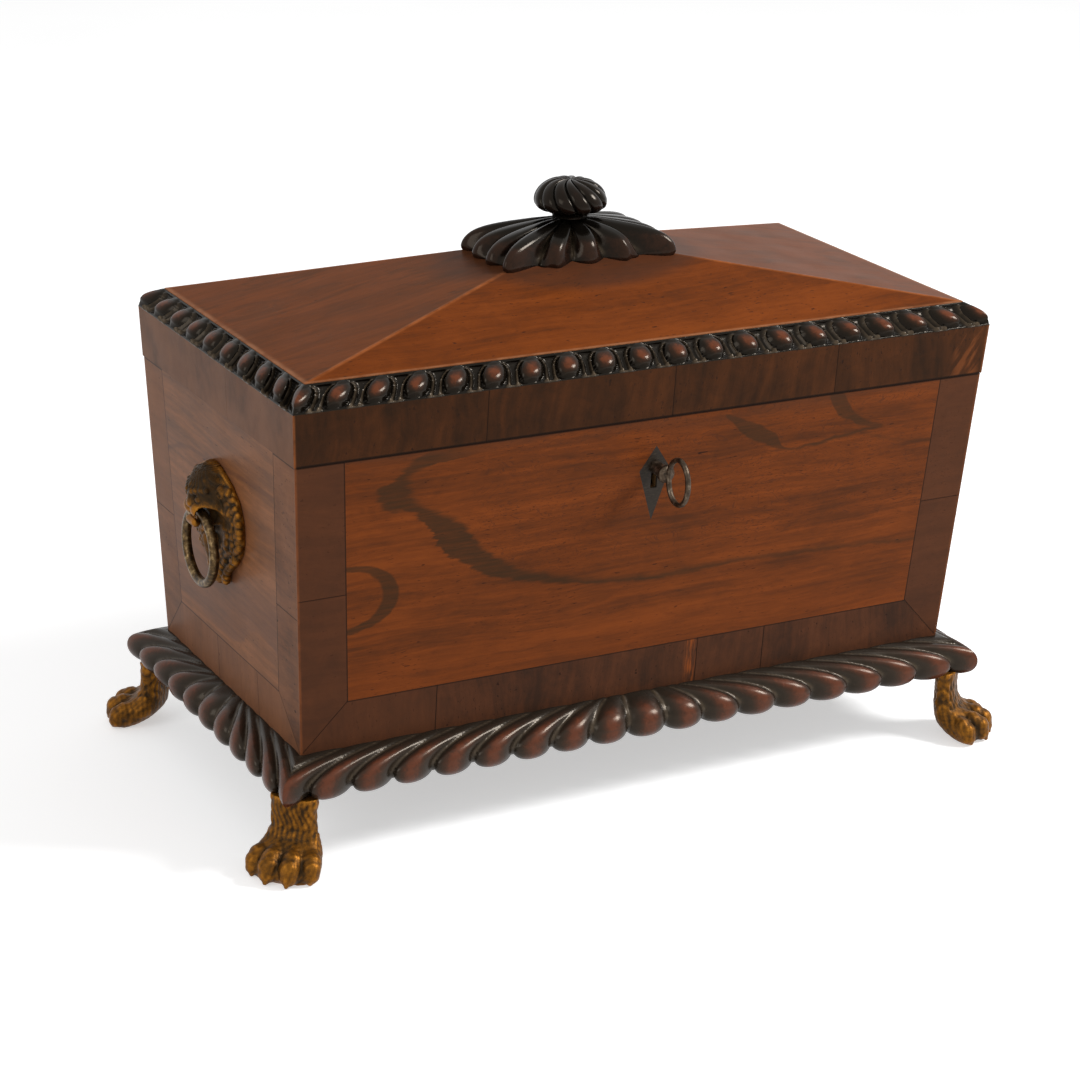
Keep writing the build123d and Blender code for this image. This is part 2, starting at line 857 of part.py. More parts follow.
# Lock in the front board
with BuildPart() as lock_case:
    slab(
        "front", lock_out, lock_back, lock_low_z, box_top_z - lock_cap_t,
        span=(-lock_half_w, lock_half_w),
    )
    slab(
        "front", lock_back, wall_in, lock_plate_low_z, box_top_z - lock_cap_t,
        span=(-lock_plate_half_w, lock_plate_half_w),
    )
    slab(
        "front", lock_out + lock_shell, lock_back, bit_room_low_z, bolt_low_z,
        span=(-bit_room_half_w, bit_room_half_w), mode=Mode.SUBTRACT,
    )
    slab(
        "front", lock_out + lock_shell, lock_back,
        bolt_low_z - slide_fit, box_top_z - lock_cap_t - lock_shell,
        span=(lock_shell - lock_half_w, lock_half_w - lock_shell), mode=Mode.SUBTRACT,
    )
    for x in (-loop_x, loop_x):
        slab(
            "front", loop_out - loose_fit, loop_in + loose_fit, bolt_low_z, box_top_z,
            span=(x - loop_half_w - loose_fit, x + loop_half_w + loose_fit), mode=Mode.SUBTRACT,
        )
    keyhole(lock_out + 2 * lock_shell)
    with Locations(front_face):
        with Locations((0, 0, -lock_back)):
            Cylinder(drill_pin_r + pin_fit, 4 * lock_shell, mode=Mode.SUBTRACT)
    for head in screw_planes("lock"):
        screw(head, gap=screw_fit, mode=Mode.SUBTRACT)
export("lock_case", lock_case)

with BuildPart() as lock_top_plate:
    slab(
        "front", lock_cap_out, wall_in, box_top_z - lock_cap_t, box_top_z,
        span=(-lock_cap_half_w, lock_cap_half_w),
    )
    for x in (-loop_x, loop_x):
        slab(
            "front", loop_out - loose_fit, loop_in + loose_fit, bolt_low_z, joint_z,
            span=(x - loop_half_w - loose_fit, x + loop_half_w + loose_fit), mode=Mode.SUBTRACT,
        )
export("lock_top_plate", lock_top_plate)

with BuildPart() as drill_pin:
    with Locations(front_face):
        with Locations((0, 0, -(wall_in + lock_out) / 2)):
            Cylinder(drill_pin_r, wall_in - lock_out - hairline)
export("drill_pin", drill_pin)

with BuildPart() as box_screws:
    for head in screw_planes("lock") + screw_planes("lower"):
        screw(head)
export("box_screws", box_screws)

with BuildPart() as lock_bolt:
    slab(
        "front", lock_out + lock_shell + slide_fit, lock_back - slide_fit,
        bolt_low_z, bolt_low_z + bolt_rail_h, span=(bolt_start, bolt_end),
    )
    for x in (-loop_x, loop_x):
        tip = x - loop_half_w - bolt_rest_gap
        slab(
            "front", bolt_finger_out, bolt_finger_out + bolt_finger_t, bolt_finger_low_z, bolt_finger_top_z,
            span=(tip - bolt_finger_len, tip),
        )
        slab(
            "front", bolt_finger_out, bolt_finger_out + bolt_finger_t,
            bolt_low_z + bolt_rail_h / 2, bolt_finger_top_z,
            span=(tip - bolt_finger_len, tip - bolt_finger_len + bolt_post_w),
        )
export("lock_bolt", lock_bolt)

with BuildPart() as key:
    with Locations(front_face):
        with Locations((0, 0, (bow_out - bow_half_w + bow_wire / 2 - key_tip) / 2)):
            Cylinder(key_shank_r, bow_out - bow_half_w + bow_wire / 2 + key_tip)
        with Locations((0, 0, key_collar_out)):
            Cylinder(key_collar_r, key_collar_t)
        with Locations((0, -(key_shank_r / 2 + key_bit_reach) / 2, -(key_bit_in + key_bit_out) / 2)):
            Box(key_bit_t, key_bit_reach - key_shank_r / 2, key_bit_in - key_bit_out)
    with BuildSketch(Plane(origin=front_face.origin, x_dir=front_face.z_dir, z_dir=front_face.x_dir)) as bow:
        with Locations((bow_out, 0)):
            Ellipse(bow_half_w, bow_half_h)
            Ellipse(bow_half_w - bow_wire, bow_half_h - bow_wire, mode=Mode.SUBTRACT)
    extrude(bow.sketch, amount=bow_wire / 2, both=True)
    with Locations(front_face):
        with Locations((0, 0, key_bore_deep / 2 - key_tip)):
            Cylinder(drill_pin_r + slide_fit, key_bore_deep, mode=Mode.SUBTRACT)
export("key", key)

# Hinges at the back of the joint


def leaves(up, shared):
    """Two hinge leaves; the lower ones carry the outer knuckles, the upper ones the middle knuckle."""
    z = box_top_z - leaf_t / 2 if up < 0 else lid_low_z + leaf_t / 2
    if up < 0:
        spans = ((-leaf_half_l, -knuckle_split), (knuckle_split, leaf_half_l))
    else:
        spans = ((knuckle_gap - knuckle_split, knuckle_split - knuckle_gap),)
    for hinge in (-hinge_x, hinge_x):
        with Locations((hinge, (leaf_front_y + leaf_back_y) / 2, z)):
            Box(2 * leaf_half_l, leaf_back_y - leaf_front_y, leaf_t)
        for start, stop in spans:
            with Locations((hinge + (start + stop) / 2, (leaf_back_y + hinge_pin_y) / 2, z)):
                Box(stop - start, hinge_pin_y - leaf_back_y, leaf_t)
            with Locations(Location((hinge + (start + stop) / 2, hinge_pin_y, joint_z), (0, 90, 0))):
                Cylinder(knuckle_r, stop - start)
        with Locations(Location((hinge, hinge_pin_y, joint_z), (0, 90, 0))):
            Cylinder(hinge_pin_r + pin_fit, 2 * leaf_half_l + knuckle_gap, mode=Mode.SUBTRACT)
    for head in screw_planes(shared):
        screw(head, gap=screw_fit, mode=Mode.SUBTRACT)


with BuildPart() as hinge_leaves_lower:
    leaves(-1, "lower")
export("hinge_leaves_lower", hinge_leaves_lower)

with BuildPart() as hinge_leaves_upper:
    leaves(1, "upper")
export("hinge_leaves_upper", hinge_leaves_upper)

with BuildPart() as hinge_pins:
    for hinge in (-hinge_x, hinge_x):
        with Locations(Location((hinge, hinge_pin_y, joint_z), (0, 90, 0))):
            Cylinder(hinge_pin_r, 2 * leaf_half_l)
export("hinge_pins", hinge_pins)

# Lion mask on the left end; the right one is the same mask turned round
ring_x = -half_w(ring_axis_z) - ring_out
with BuildPart() as lion_mask_left:
    with BuildSketch(left_face) as plate:
        Ellipse(mask_half_w - mane_r / 2, mask_half_h - mane_r / 2)
    extrude(plate.sketch, amount=mask_plate_t)
    with Locations(left_face):
        for k in range(mane_locks):
            angle = 2 * pi * (k + 0.5) / mane_locks
            with Locations(
                (
                    (mask_half_w - mane_r) * cos(angle),
                    (mask_half_h - mane_r) * sin(angle),
                    0,
                )
            ):
                Sphere(mane_r)
        with Locations((0, face_up, face_rise - face_r)):
            Sphere(face_r)
        for end in (-1, 1):
            with Locations((end * brow_x, brow_up, brow_out)):
                Sphere(brow_r)
            with Locations((end * ear_x, ear_up, ear_out)):
                Sphere(ear_r)
        with Locations((0, crest_up, crest_out)):
            Sphere(crest_r)
    with Locations(Location((ring_x, 0, ring_axis_z), (90, 0, 0))):
        Cylinder(muzzle_r, 2 * muzzle_half_l)
    with Locations(left_face):
        with Locations((0, snout_up, snout_t / 2)):
            Box(2 * muzzle_half_l, 2 * muzzle_r, snout_t)
        with Locations((0, 0, -face_r)):
            Box(4 * mask_half_w, 4 * mask_half_h, 2 * face_r, mode=Mode.SUBTRACT)
    with Locations(Location((ring_x, 0, ring_axis_z), (90, 0, 0))):
        Cylinder(mouth_r, 4 * muzzle_half_l, mode=Mode.SUBTRACT)
    mask_pin_holes(left_face)
export("lion_mask_left", lion_mask_left)

with BuildPart() as lion_mask_right:
    add(lion_mask_left.part, rotation=(0, 0, 180))
export("lion_mask_right", lion_mask_right)

with BuildPart(mode=Mode.PRIVATE) as left_pins:
    for x in (-mask_pin_x, mask_pin_x):
        stepped_pin(left_face, x, mask_pin_v)

with BuildPart() as mask_pins:
    add(left_pins.part)
    add(left_pins.part, rotation=(0, 0, 180))
export("mask_pins", mask_pins)

for name, end in (("ring_left", 1), ("ring_right", -1)):
    with BuildPart() as ring:
        with Locations(Location((end * ring_x, 0, ring_axis_z - ring_r), (0, 90, 0))):
            Torus(ring_r, ring_wire_r)
    export(name, ring)

# Inside fittings
with BuildPart() as partitions:
    for end in (-1, 1):
        faces = []
        for z in (base_z, ledge_z):
            with BuildSketch(Plane.XY.offset(z)) as section:
                with Locations((end * (partition_in_x + partition_out_x) / 2, 0)):
                    Rectangle(partition_t, 2 * (half_d(z) - wall_in))
            faces.append(section.sketch.faces()[0])
        loft(faces, ruled=True)
export("partitions", partitions)

canister_mid_x = partition_out_x + canister_gap + canister_w / 2
ledge_open_x = canister_mid_x + canister_w / 2 + canister_ledge_gap
ledge_open_y = canister_d / 2 + canister_ledge_gap
with BuildPart() as ledges:
    for side in ("front", "back"):
        slab(side, wall_in, 2 * wall_in, ledge_z, ledge_z + ledge_t, butt=wall_in)
    with Locations((0, 0, ledge_z + ledge_t / 2)):
        Box(2 * base_half_w, 2 * ledge_open_y, 2 * ledge_t, mode=Mode.SUBTRACT)
    for side in ("left", "right"):
        slab(
            side, wall_in, 2 * wall_in, ledge_z, ledge_z + ledge_t,
            span=(hairline - ledge_open_y, ledge_open_y - hairline),
        )
    with Locations((0, 0, ledge_z + ledge_t / 2)):
        Box(2 * ledge_open_x, 2 * ledge_open_y, 2 * ledge_t, mode=Mode.SUBTRACT)
export("ledges", ledges)

with BuildPart() as well_board:
    with Locations((0, 0, ledge_z + ledge_t / 2)):
        Box(2 * partition_out_x, 2 * ledge_open_y, ledge_t)
        Cylinder(well_r, 2 * ledge_t, mode=Mode.SUBTRACT)
export("well_board", well_board)

lining_half_d = half_d(base_z) - wall_in - hairline
lining_out_x = half_w(base_z) - wall_in - hairline
with BuildPart() as floor_linings:
    with Locations((0, 0, base_z + floor_lining_t / 2)):
        Box(2 * (partition_in_x - hairline), 2 * lining_half_d, floor_lining_t)
    for end in (-1, 1):
        middle = end * (partition_out_x + lining_out_x + hairline) / 2
        with Locations((middle, 0, base_z + floor_lining_t / 2)):
            Box(lining_out_x - partition_out_x - hairline, 2 * lining_half_d, floor_lining_t)
export("floor_linings", floor_linings)

bowl_z = ledge_z + ledge_t
bowl_low_z = bowl_z - bowl_deep
bowl_r = well_r - bowl_gap
with BuildPart() as mixing_bowl:
    with BuildSketch(Plane.XZ) as glass:
        with BuildLine():
            Line((0, bowl_low_z), (bowl_foot_r, bowl_low_z))
            Line((bowl_foot_r, bowl_low_z), (bowl_foot_r, bowl_low_z + bowl_foot_h))
            Spline(
                (bowl_foot_r, bowl_low_z + bowl_foot_h),
                (bowl_r - bowl_shoulder_in, bowl_low_z + bowl_shoulder_up),
                (bowl_r, bowl_low_z + bowl_side_up),
                tangents=((1, 0.35), (0, 1)),
            )
            Line((bowl_r, bowl_low_z + bowl_side_up), (bowl_r, bowl_z))
            Line((bowl_r, bowl_z), (bowl_rim_r, bowl_z))
            Line((bowl_rim_r, bowl_z), (bowl_rim_r, bowl_z + bowl_rim_t))
            Line((bowl_rim_r, bowl_z + bowl_rim_t), (bowl_r - bowl_wall, bowl_z + bowl_rim_t))
            Line(
                (bowl_r - bowl_wall, bowl_z + bowl_rim_t),
                (bowl_r - bowl_wall, bowl_low_z + bowl_hollow_side_up),
            )
            Spline(
                (bowl_r - bowl_wall, bowl_low_z + bowl_hollow_side_up),
                (bowl_r - bowl_hollow_in, bowl_low_z + bowl_hollow_up),
                (0, bowl_low_z + bowl_floor_t),
                tangents=((0, -1), (-1, 0)),
            )
            Line((0, bowl_low_z + bowl_floor_t), (0, bowl_low_z))
        make_face()
    revolve(glass.sketch, axis=Axis.Z)
export("mixing_bowl", mixing_bowl)

canister_low_z = base_z + floor_lining_t
canister_top_z = ledge_z - canister_ledge_gap / 2
canister_h = canister_top_z - canister_low_z
for name, end in (("canister_left", -1), ("canister_right", 1)):
    with BuildPart() as canister:
        with Locations((end * canister_mid_x, 0, canister_low_z + canister_h / 2)):
            Box(canister_w, canister_d, canister_h)
            with Locations((0, 0, canister_floor)):
                Box(
                    canister_w - 2 * canister_wall, canister_d - 2 * canister_wall, canister_h,
                    mode=Mode.SUBTRACT,
                )
    export(name, canister)
    seat_z = canister_top_z + canister_lid_t
    with BuildPart() as canister_lid:
        with Locations((end * canister_mid_x, 0, canister_top_z + canister_lid_t / 2)):
            Box(canister_w, canister_d, canister_lid_t)
        with Locations((end * canister_mid_x, 0, canister_top_z - canister_plug_t / 2)):
            Box(
                canister_w - 2 * canister_wall - 2 * canister_plug_gap,
                canister_d - 2 * canister_wall - 2 * canister_plug_gap,
                canister_plug_t,
            )
        with Locations((end * canister_mid_x, 0, seat_z - canister_spigot_deep / 2)):
            Cylinder(canister_spigot_r + pin_fit, canister_spigot_deep, mode=Mode.SUBTRACT)
    export(name + "_lid", canister_lid)
    with BuildPart(mode=Mode.PRIVATE) as canister_knob:
        turned_knob(
            seat_z, seat_z + canister_knob_h, canister_knob_r, canister_knob_half_h,
            canister_neck_r, canister_spigot_r, seat_z - canister_spigot_deep,
        )
    with BuildPart() as placed_knob:
        with Locations((end * canister_mid_x, 0, 0)):
            add(canister_knob.part)
    export(name + "_knob", placed_knob)

# Lid: rails under a solid hipped board
with BuildPart() as lid_rails:
    for side in ("front", "back"):
        slab(side, veneer_t, wall_in, lid_low_z, frieze_top_z, butt=veneer_t, proud=lid_proud)
    for side in ("left", "right"):
        slab(
            side, veneer_t, wall_in, lid_low_z, frieze_top_z,
            butt=wall_in + hairline, proud=lid_proud,
        )
    slab(
        "front", lock_cap_out, wall_in - lid_proud, lid_low_z, lid_low_z + link_t,
        span=(-link_half_w, link_half_w), mode=Mode.SUBTRACT,
    )
    leaf_recess(lid_low_z + leaf_t / 2)
    for head in screw_planes("upper") + screw_planes("link"):
        screw(head, gap=screw_fit, mode=Mode.SUBTRACT)
export("lid_rails", lid_rails)

with BuildPart() as lid_frieze:
    for side in outward:
        slab(side, 0, veneer_t, lid_low_z, frieze_top_z, proud=lid_proud, trim=hairline / 2)
    for joint in frieze_joints:
        with Locations((joint, -half_d(joint_z), joint_z)):
            Box(hairline, 4 * veneer_t, 4 * edge_w + edge_h, mode=Mode.SUBTRACT)
    for end in (-1, 1):
        with Locations((end * half_w(joint_z), end * end_frieze_joint, joint_z)):
            Box(4 * veneer_t, hairline, 4 * edge_w + edge_h, mode=Mode.SUBTRACT)
    leaf_recess(lid_low_z + leaf_t / 2)
export("lid_frieze", lid_frieze)


def roof(edge_z, mode=Mode.ADD):
    """Board with four slopes from its edge height to the middle."""
    with Locations((0, 0, (frieze_top_z + edge_z) / 2)):
        Box(2 * roof_half_w, 2 * roof_half_d, edge_z - frieze_top_z, mode=mode)
    slopes = []
    for scale in (1.0, apex_scale):
        with BuildSketch(Plane.XY.offset(edge_z + (1 - scale) * roof_rise)) as level:
            Rectangle(2 * roof_half_w * scale, 2 * roof_half_d * scale)
        slopes.append(level.sketch.faces()[0])
    loft(slopes, ruled=True, mode=mode)


def dowel_hole():
    """Hole for the knob's dowel."""
    with Locations((0, 0, (dowel_low_z + knob_seat_z) / 2)):
        Cylinder(dowel_r + pin_fit, knob_seat_z - dowel_low_z, mode=Mode.SUBTRACT)


with BuildPart() as roof_board:
    roof(roof_edge_z - roof_veneer_t)
    dowel_hole()
export("roof_board", roof_board)

with BuildPart() as roof_veneers:
    roof(roof_edge_z)
    roof(roof_edge_z - roof_veneer_t, mode=Mode.SUBTRACT)
    hip = degrees(atan2(roof_half_d, roof_half_w))
    for turn in (-hip, hip):
        with Locations(Location((0, 0, roof_edge_z), (0, 0, turn))):
            Box(4 * roof_half_w, hairline, 4 * roof_rise, mode=Mode.SUBTRACT)
    dowel_hole()
export("roof_veneers", roof_veneers)


def bead_moulding(side, beads):
    """One length of lid edge moulding: a quarter-round core with a row of upright beads."""
    half_a = along(side, frieze_top_z) + lid_proud - edge_w
    half_b = across(side, frieze_top_z) + lid_proud - edge_w
    with BuildSketch(profile_plane(side)) as core:
        with Locations((half_b, frieze_top_z)):
            Ellipse(edge_w * edge_core, edge_h * edge_core)
    extrude(core.sketch, amount=half_a + 2 * edge_w, both=True)
    lean = hypot(edge_w, edge_h)
    climb = (-edge_w / lean, edge_h / lean)
    mid_out = edge_w / sqrt(2) - bead_r * edge_h / lean
    mid_z = frieze_top_z + edge_h / sqrt(2) - bead_r * edge_w / lean
    low_out = mid_out - climb[0] * bead_reach
    low_z = mid_z - climb[1] * bead_reach
    high_out = mid_out + climb[0] * bead_reach
    high_z = mid_z + climb[1] * bead_reach
    pitch = 2 * (half_a + mid_out) / (beads + 1)
    for k in range(beads):
        u = (k - (beads - 1) / 2) * pitch
        teardrop(
            (*place(side, u, half_b + low_out), low_z),
            (*place(side, u, half_b + high_out), high_z),
            bead_r - hairline,
            bead_r,
        )
    for end in (-1, 1):
        teardrop(
            (*place(side, end * (half_a + low_out), half_b + low_out), low_z),
            (*place(side, end * (half_a + high_out), half_b + high_out), high_z),
            bead_r - hairline,
            bead_r,
        )
    mitre_block(side, 0, 2 * edge_w, frieze_top_z, roof_edge_z + edge_h, half_a, half_b)


with BuildPart() as lid_moulding_front:
    bead_moulding("front", front_beads)
export("lid_moulding_front", lid_moulding_front)

with BuildPart() as lid_moulding_back:
    add(lid_moulding_front.part, rotation=(0, 0, 180))
export("lid_moulding_back", lid_moulding_back)

with BuildPart() as lid_moulding_left:
    bead_moulding("left", end_beads)
export("lid_moulding_left", lid_moulding_left)

with BuildPart() as lid_moulding_right:
    add(lid_moulding_left.part, rotation=(0, 0, 180))
export("lid_moulding_right", lid_moulding_right)

# Finial
with BuildPart() as finial_rosette:
    with BuildSketch(Plane.XY.offset(roof_apex_z - rosette_core_deep)):
        Ellipse(rosette_core_half_w, rosette_core_half_d)
    with BuildSketch(Plane.XY.offset(knob_seat_z)):
        Circle(rosette_eye_r)
    loft()
    tail_z = knob_seat_z - rosette_tail_r - hairline
    for end_x, end_y, end_r in rosette_lobes:
        reach = hypot(end_x, end_y)
        nose_z = roof_apex_z - max(end_x / roof_half_w, end_y / roof_half_d) * roof_rise
        for x in (-1, 1) if end_x else (1,):
            for y in (-1, 1):
                teardrop(
                    (x * end_x / reach * rosette_tail_out, y * end_y / reach * rosette_tail_out, tail_z),
                    (x * end_x, y * end_y, nose_z),
                    rosette_tail_r,
                    end_r,
                )
    roof(roof_edge_z, mode=Mode.SUBTRACT)
    dowel_hole()
export("finial_rosette", finial_rosette)

with BuildPart() as finial_knob:
    turned_knob(knob_seat_z, knob_top_z, knob_r, knob_half_h, knob_neck_r, dowel_r, dowel_low_z)
    with Locations((0, 0, knob_seat_z + knob_foot_t / 2)):
        Cylinder(knob_foot_r, knob_foot_t)
export("finial_knob", finial_knob)

# Lid lining, link plate and the screws of the lid
with BuildPart() as lid_lining:
    low = frieze_top_z - lining_t
    with Locations((0, 0, low + lining_t / 2)):
        Box(
            2 * (half_w(low) + lid_proud - wall_in - hairline),
            2 * (half_d(low) + lid_proud - wall_in - hairline),
            lining_t,
        )
export("lid_lining", lid_lining)

with BuildPart() as link_plate:
    slab(
        "front", lock_cap_out, wall_in - lid_proud, lid_low_z, lid_low_z + link_t,
        span=(-link_half_w, link_half_w),
    )
    for x in (-loop_x, loop_x):
        slab(
            "front", loop_out, loop_in, loop_low_z, lid_low_z + link_t / 2,
            span=(x - loop_half_w, x + loop_half_w),
        )
        slab(
            "front", loop_window_out, loop_window_in, loop_window_low_z, loop_window_top_z,
            span=(x - 2 * loop_half_w, x + 2 * loop_half_w), mode=Mode.SUBTRACT,
        )
    for head in screw_planes("link"):
        screw(head, gap=screw_fit, mode=Mode.SUBTRACT)
export("link_plate", link_plate)

with BuildPart() as lid_screws:
    for head in screw_planes("upper") + screw_planes("link"):
        screw(head)
export("lid_screws", lid_screws)
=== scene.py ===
import bpy
import math
import numpy as np
from mathutils import Matrix, Vector


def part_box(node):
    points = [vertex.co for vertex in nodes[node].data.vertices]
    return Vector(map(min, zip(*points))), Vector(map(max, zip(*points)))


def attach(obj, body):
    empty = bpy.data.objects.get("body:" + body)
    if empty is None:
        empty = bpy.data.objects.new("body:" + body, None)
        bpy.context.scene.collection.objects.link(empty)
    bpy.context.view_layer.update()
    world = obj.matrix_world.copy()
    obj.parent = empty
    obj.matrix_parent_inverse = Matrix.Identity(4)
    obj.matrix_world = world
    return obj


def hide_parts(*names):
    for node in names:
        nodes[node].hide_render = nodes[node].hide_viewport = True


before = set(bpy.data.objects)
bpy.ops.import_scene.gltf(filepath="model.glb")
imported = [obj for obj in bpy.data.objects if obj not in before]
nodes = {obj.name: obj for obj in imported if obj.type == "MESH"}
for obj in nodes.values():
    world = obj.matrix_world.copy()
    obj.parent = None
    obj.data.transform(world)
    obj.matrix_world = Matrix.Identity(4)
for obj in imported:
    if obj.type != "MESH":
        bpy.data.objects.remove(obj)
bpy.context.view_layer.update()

# Millimetres in a metre; the sizes below are in millimetres, as in the CAD
MM = 1000
# shift of the chest's middle along Y
SHIFT = MM / 2 * sum(corner.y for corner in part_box("roof_veneers"))
# heights: tops of the feet, foot of the box, where the lid meets it, frieze, eaves and peak of the roof
FOOT_TOP, BASE_Z, SHUT_Z, FRIEZE_TOP, ROOF_EDGE, ROOF_APEX = 31.0, 45.1, 168.0, 189.5, 198.6, 223.9
# heights of the lions' masks and of the keyhole
MASK_Z, KEY_Z = 119.5, 147.0
# half sizes of the box at its foot, and how far its sides lean out for each millimetre up
HALF_W, HALF_D = 152.95, 71.55
SLOPE_W, SLOPE_D = 0.048823, 0.060596
# half sizes of the lid's frieze, of the roof and of the line that the beading stands on
FRIEZE_W, FRIEZE_D = 159.0, 79.0
ROOF_W, ROOF_D, BEADING_D = 151.9, 72.1, 72.2
# width of the crossbanding, and how far the feet stand out from the corners of the box
BANDING, FOOT_OUT = 20.5, 4.6
# for each side, the way along it and the way out of it
OUTWARD = {
    "front": ((1, 0), (0, -1)),
    "back": ((-1, 0), (0, 1)),
    "left": ((0, -1), (-1, 0)),
    "right": ((0, 1), (1, 0)),
}


# Materials

def lin(*screen):
    """Linear colour, opaque, from 0-255 screen values."""
    shares = [c / 255 for c in screen]
    return tuple(c / 12.92 if c <= 0.04045 else ((c + 0.055) / 1.055) ** 2.4 for c in shares) + (1.0,)


def tones(*screens):
    """Linear colours of several screen values."""
    return [lin(*screen) for screen in screens]


def operator(op, swapped=False):
    """Method that adds a Math node to a value's tree."""
    def work(self, other=0.0):
        return self.tree.calc(op, other, self) if swapped else self.tree.calc(op, self, other)
    return work


class Value:
    """Output of a node that plain arithmetic works with."""

    def __init__(self, tree, socket):
        self.tree, self.socket = tree, socket

    __add__ = operator("ADD")
    __sub__ = operator("SUBTRACT")
    __rsub__ = operator("SUBTRACT", swapped=True)
    __mul__ = operator("MULTIPLY")
    __truediv__ = operator("DIVIDE")
    __pow__ = operator("POWER")
    __gt__ = operator("GREATER_THAN")
    __lt__ = operator("LESS_THAN")
    __abs__ = operator("ABSOLUTE")


class Tree:
    """Node tree that starts empty."""

    def __init__(self, tree):
        self.tree = tree
        tree.nodes.clear()

    def add(self, kind, **settings):
        node = self.tree.nodes.new(kind)
        for key, value in settings.items():
            setattr(node, key, value)
        return node

    def put(self, socket, value):
        """Link a value to a socket, or set the socket to a plain number or colour."""
        if isinstance(value, Value):
            value = value.socket
        if isinstance(value, bpy.types.NodeSocket):
            self.tree.links.new(value, socket)
        else:
            socket.default_value = value

    def calc(self, op, a, b=0.0, clamp=False):
        node = self.add("ShaderNodeMath", operation=op, use_clamp=clamp)
        self.put(node.inputs[0], a)
        self.put(node.inputs[1], b)
        return Value(self, node.outputs[0])

    def studio_rays(self):
        """1 for the rays that see the white studio: the camera's, and those in gloss and glass."""
        rays = self.add("ShaderNodeLightPath").outputs
        indirect = self.calc("MAXIMUM", rays["Is Glossy Ray"], rays["Is Transmission Ray"])
        return self.calc("MAXIMUM", rays["Is Camera Ray"], indirect)


class Shade(Tree):
    """One node material, with coordinates in millimetres in the part's own frame."""

    def __init__(self, name):
        self.mat = bpy.data.materials.new(name)
        self.mat.use_nodes = True
        super().__init__(self.mat.node_tree)
        self.out = self.add("ShaderNodeOutputMaterial")
        coords = self.add("ShaderNodeTexCoord")
        scale = self.add("ShaderNodeVectorMath", operation="SCALE")
        scale.inputs["Scale"].default_value = MM
        self.put(scale.inputs[0], coords.outputs["Object"])
        self.mm = scale.outputs[0]
        parts = self.add("ShaderNodeSeparateXYZ")
        self.put(parts.inputs[0], self.mm)
        self.x, y, self.z = (Value(self, part) for part in parts.outputs)
        self.y = y - SHIFT

    def cloud(self, place, scale, detail, rough, bend):
        node = self.add("ShaderNodeTexNoise")
        self.put(node.inputs["Vector"], place)
        for key, value in (("Scale", scale), ("Detail", detail), ("Roughness", rough), ("Distortion", bend)):
            node.inputs[key].default_value = value
        return Value(self, node.outputs["Fac"])

    def noise(self, x, y, z=0.0, detail=3.0, rough=0.5, bend=0.0):
        """Noise over coordinates that are scaled already."""
        place = self.add("ShaderNodeCombineXYZ")
        for socket, value in zip(place.inputs, (x, y, z)):
            self.put(socket, value)
        return self.cloud(place.outputs[0], 1.0, detail, rough, bend)

    def even_noise(self, scale, detail=3.0, rough=0.5, bend=0.0):
        """Noise that is alike in all directions."""
        return self.cloud(self.mm, scale, detail, rough, bend)

    def step(self, value, low, high, to=1.0):
        """Smooth rise from 0 at low to the given height at high."""
        node = self.add("ShaderNodeMapRange", interpolation_type="SMOOTHSTEP", clamp=True)
        for key, number in (("Value", value), ("From Min", low), ("From Max", high), ("To Max", to)):
            self.put(node.inputs[key], number)
        return Value(self, node.outputs[0])

    def between(self, value, low, high, soft, soft_high=None):
        """1 from low to high, with soft ends."""
        fade = soft_high or soft
        return self.step(value - low, -soft, soft) * self.step(high - value, -fade, fade)

    def span(self, value, low, high, soft=1.0):
        """1 from one number to another, with soft ends."""
        return self.step(value, low - soft, low + soft) * self.step(value, high + soft, high - soft)

    def curve(self, value, points, low, high):
        """Value of a smooth curve through points; outputs run from low to high."""
        first, last = points[0][0], points[-1][0]
        node = self.add("ShaderNodeFloatCurve")
        line = node.mapping.curves[0]
        while len(line.points) < len(points):
            line.points.new(0.5, 0.5)
        for spot, (x, y) in zip(line.points, points):
            spot.location = ((x - first) / (last - first), (y - low) / (high - low))
        node.mapping.update()
        self.put(node.inputs["Value"], self.calc("DIVIDE", value - first, last - first, clamp=True))
        return Value(self, node.outputs[0]) * (high - low) + low

    def ellipse(self, x, y, rx, ry):
        """Distance from the middle of an ellipse, 1 on its rim."""
        return self.calc("SQRT", (x / rx) ** 2.0 + (y / ry) ** 2.0)

    def mix(self, share, a, b):
        node = self.add("ShaderNodeMix", data_type="RGBA")
        for index, value in ((0, share), (6, a), (7, b)):
            self.put(node.inputs[index], value)
        return node.outputs[2]

    def ramp(self, value, stops):
        node = self.add("ShaderNodeValToRGB")
        line = node.color_ramp
        while len(line.elements) < len(stops):
            line.elements.new(0.5)
        for spot, (at, colour) in zip(line.elements, stops):
            spot.position = at
            spot.color = colour
        self.put(node.inputs[0], value)
        return node.outputs[0]

    def attribute(self, name):
        return Value(self, self.add("ShaderNodeAttribute", attribute_name=name).outputs["Fac"])

    def finish(self, colour, rough, height, bump, depth, **more):
        """The finished material, with bumps of the given strength and depth in metres."""
        shader = self.add("ShaderNodeBsdfPrincipled")
        relief = self.add("ShaderNodeBump")
        for key, value in (("Strength", bump), ("Distance", depth), ("Height", height)):
            self.put(relief.inputs[key], value)
        more.update(Base_Color=colour, Roughness=rough, Normal=relief.outputs[0])
        for key, value in more.items():
            self.put(shader.inputs[key.replace("_", " ")], value)
        self.put(self.out.inputs["Surface"], shader.outputs[0])
        return self.mat


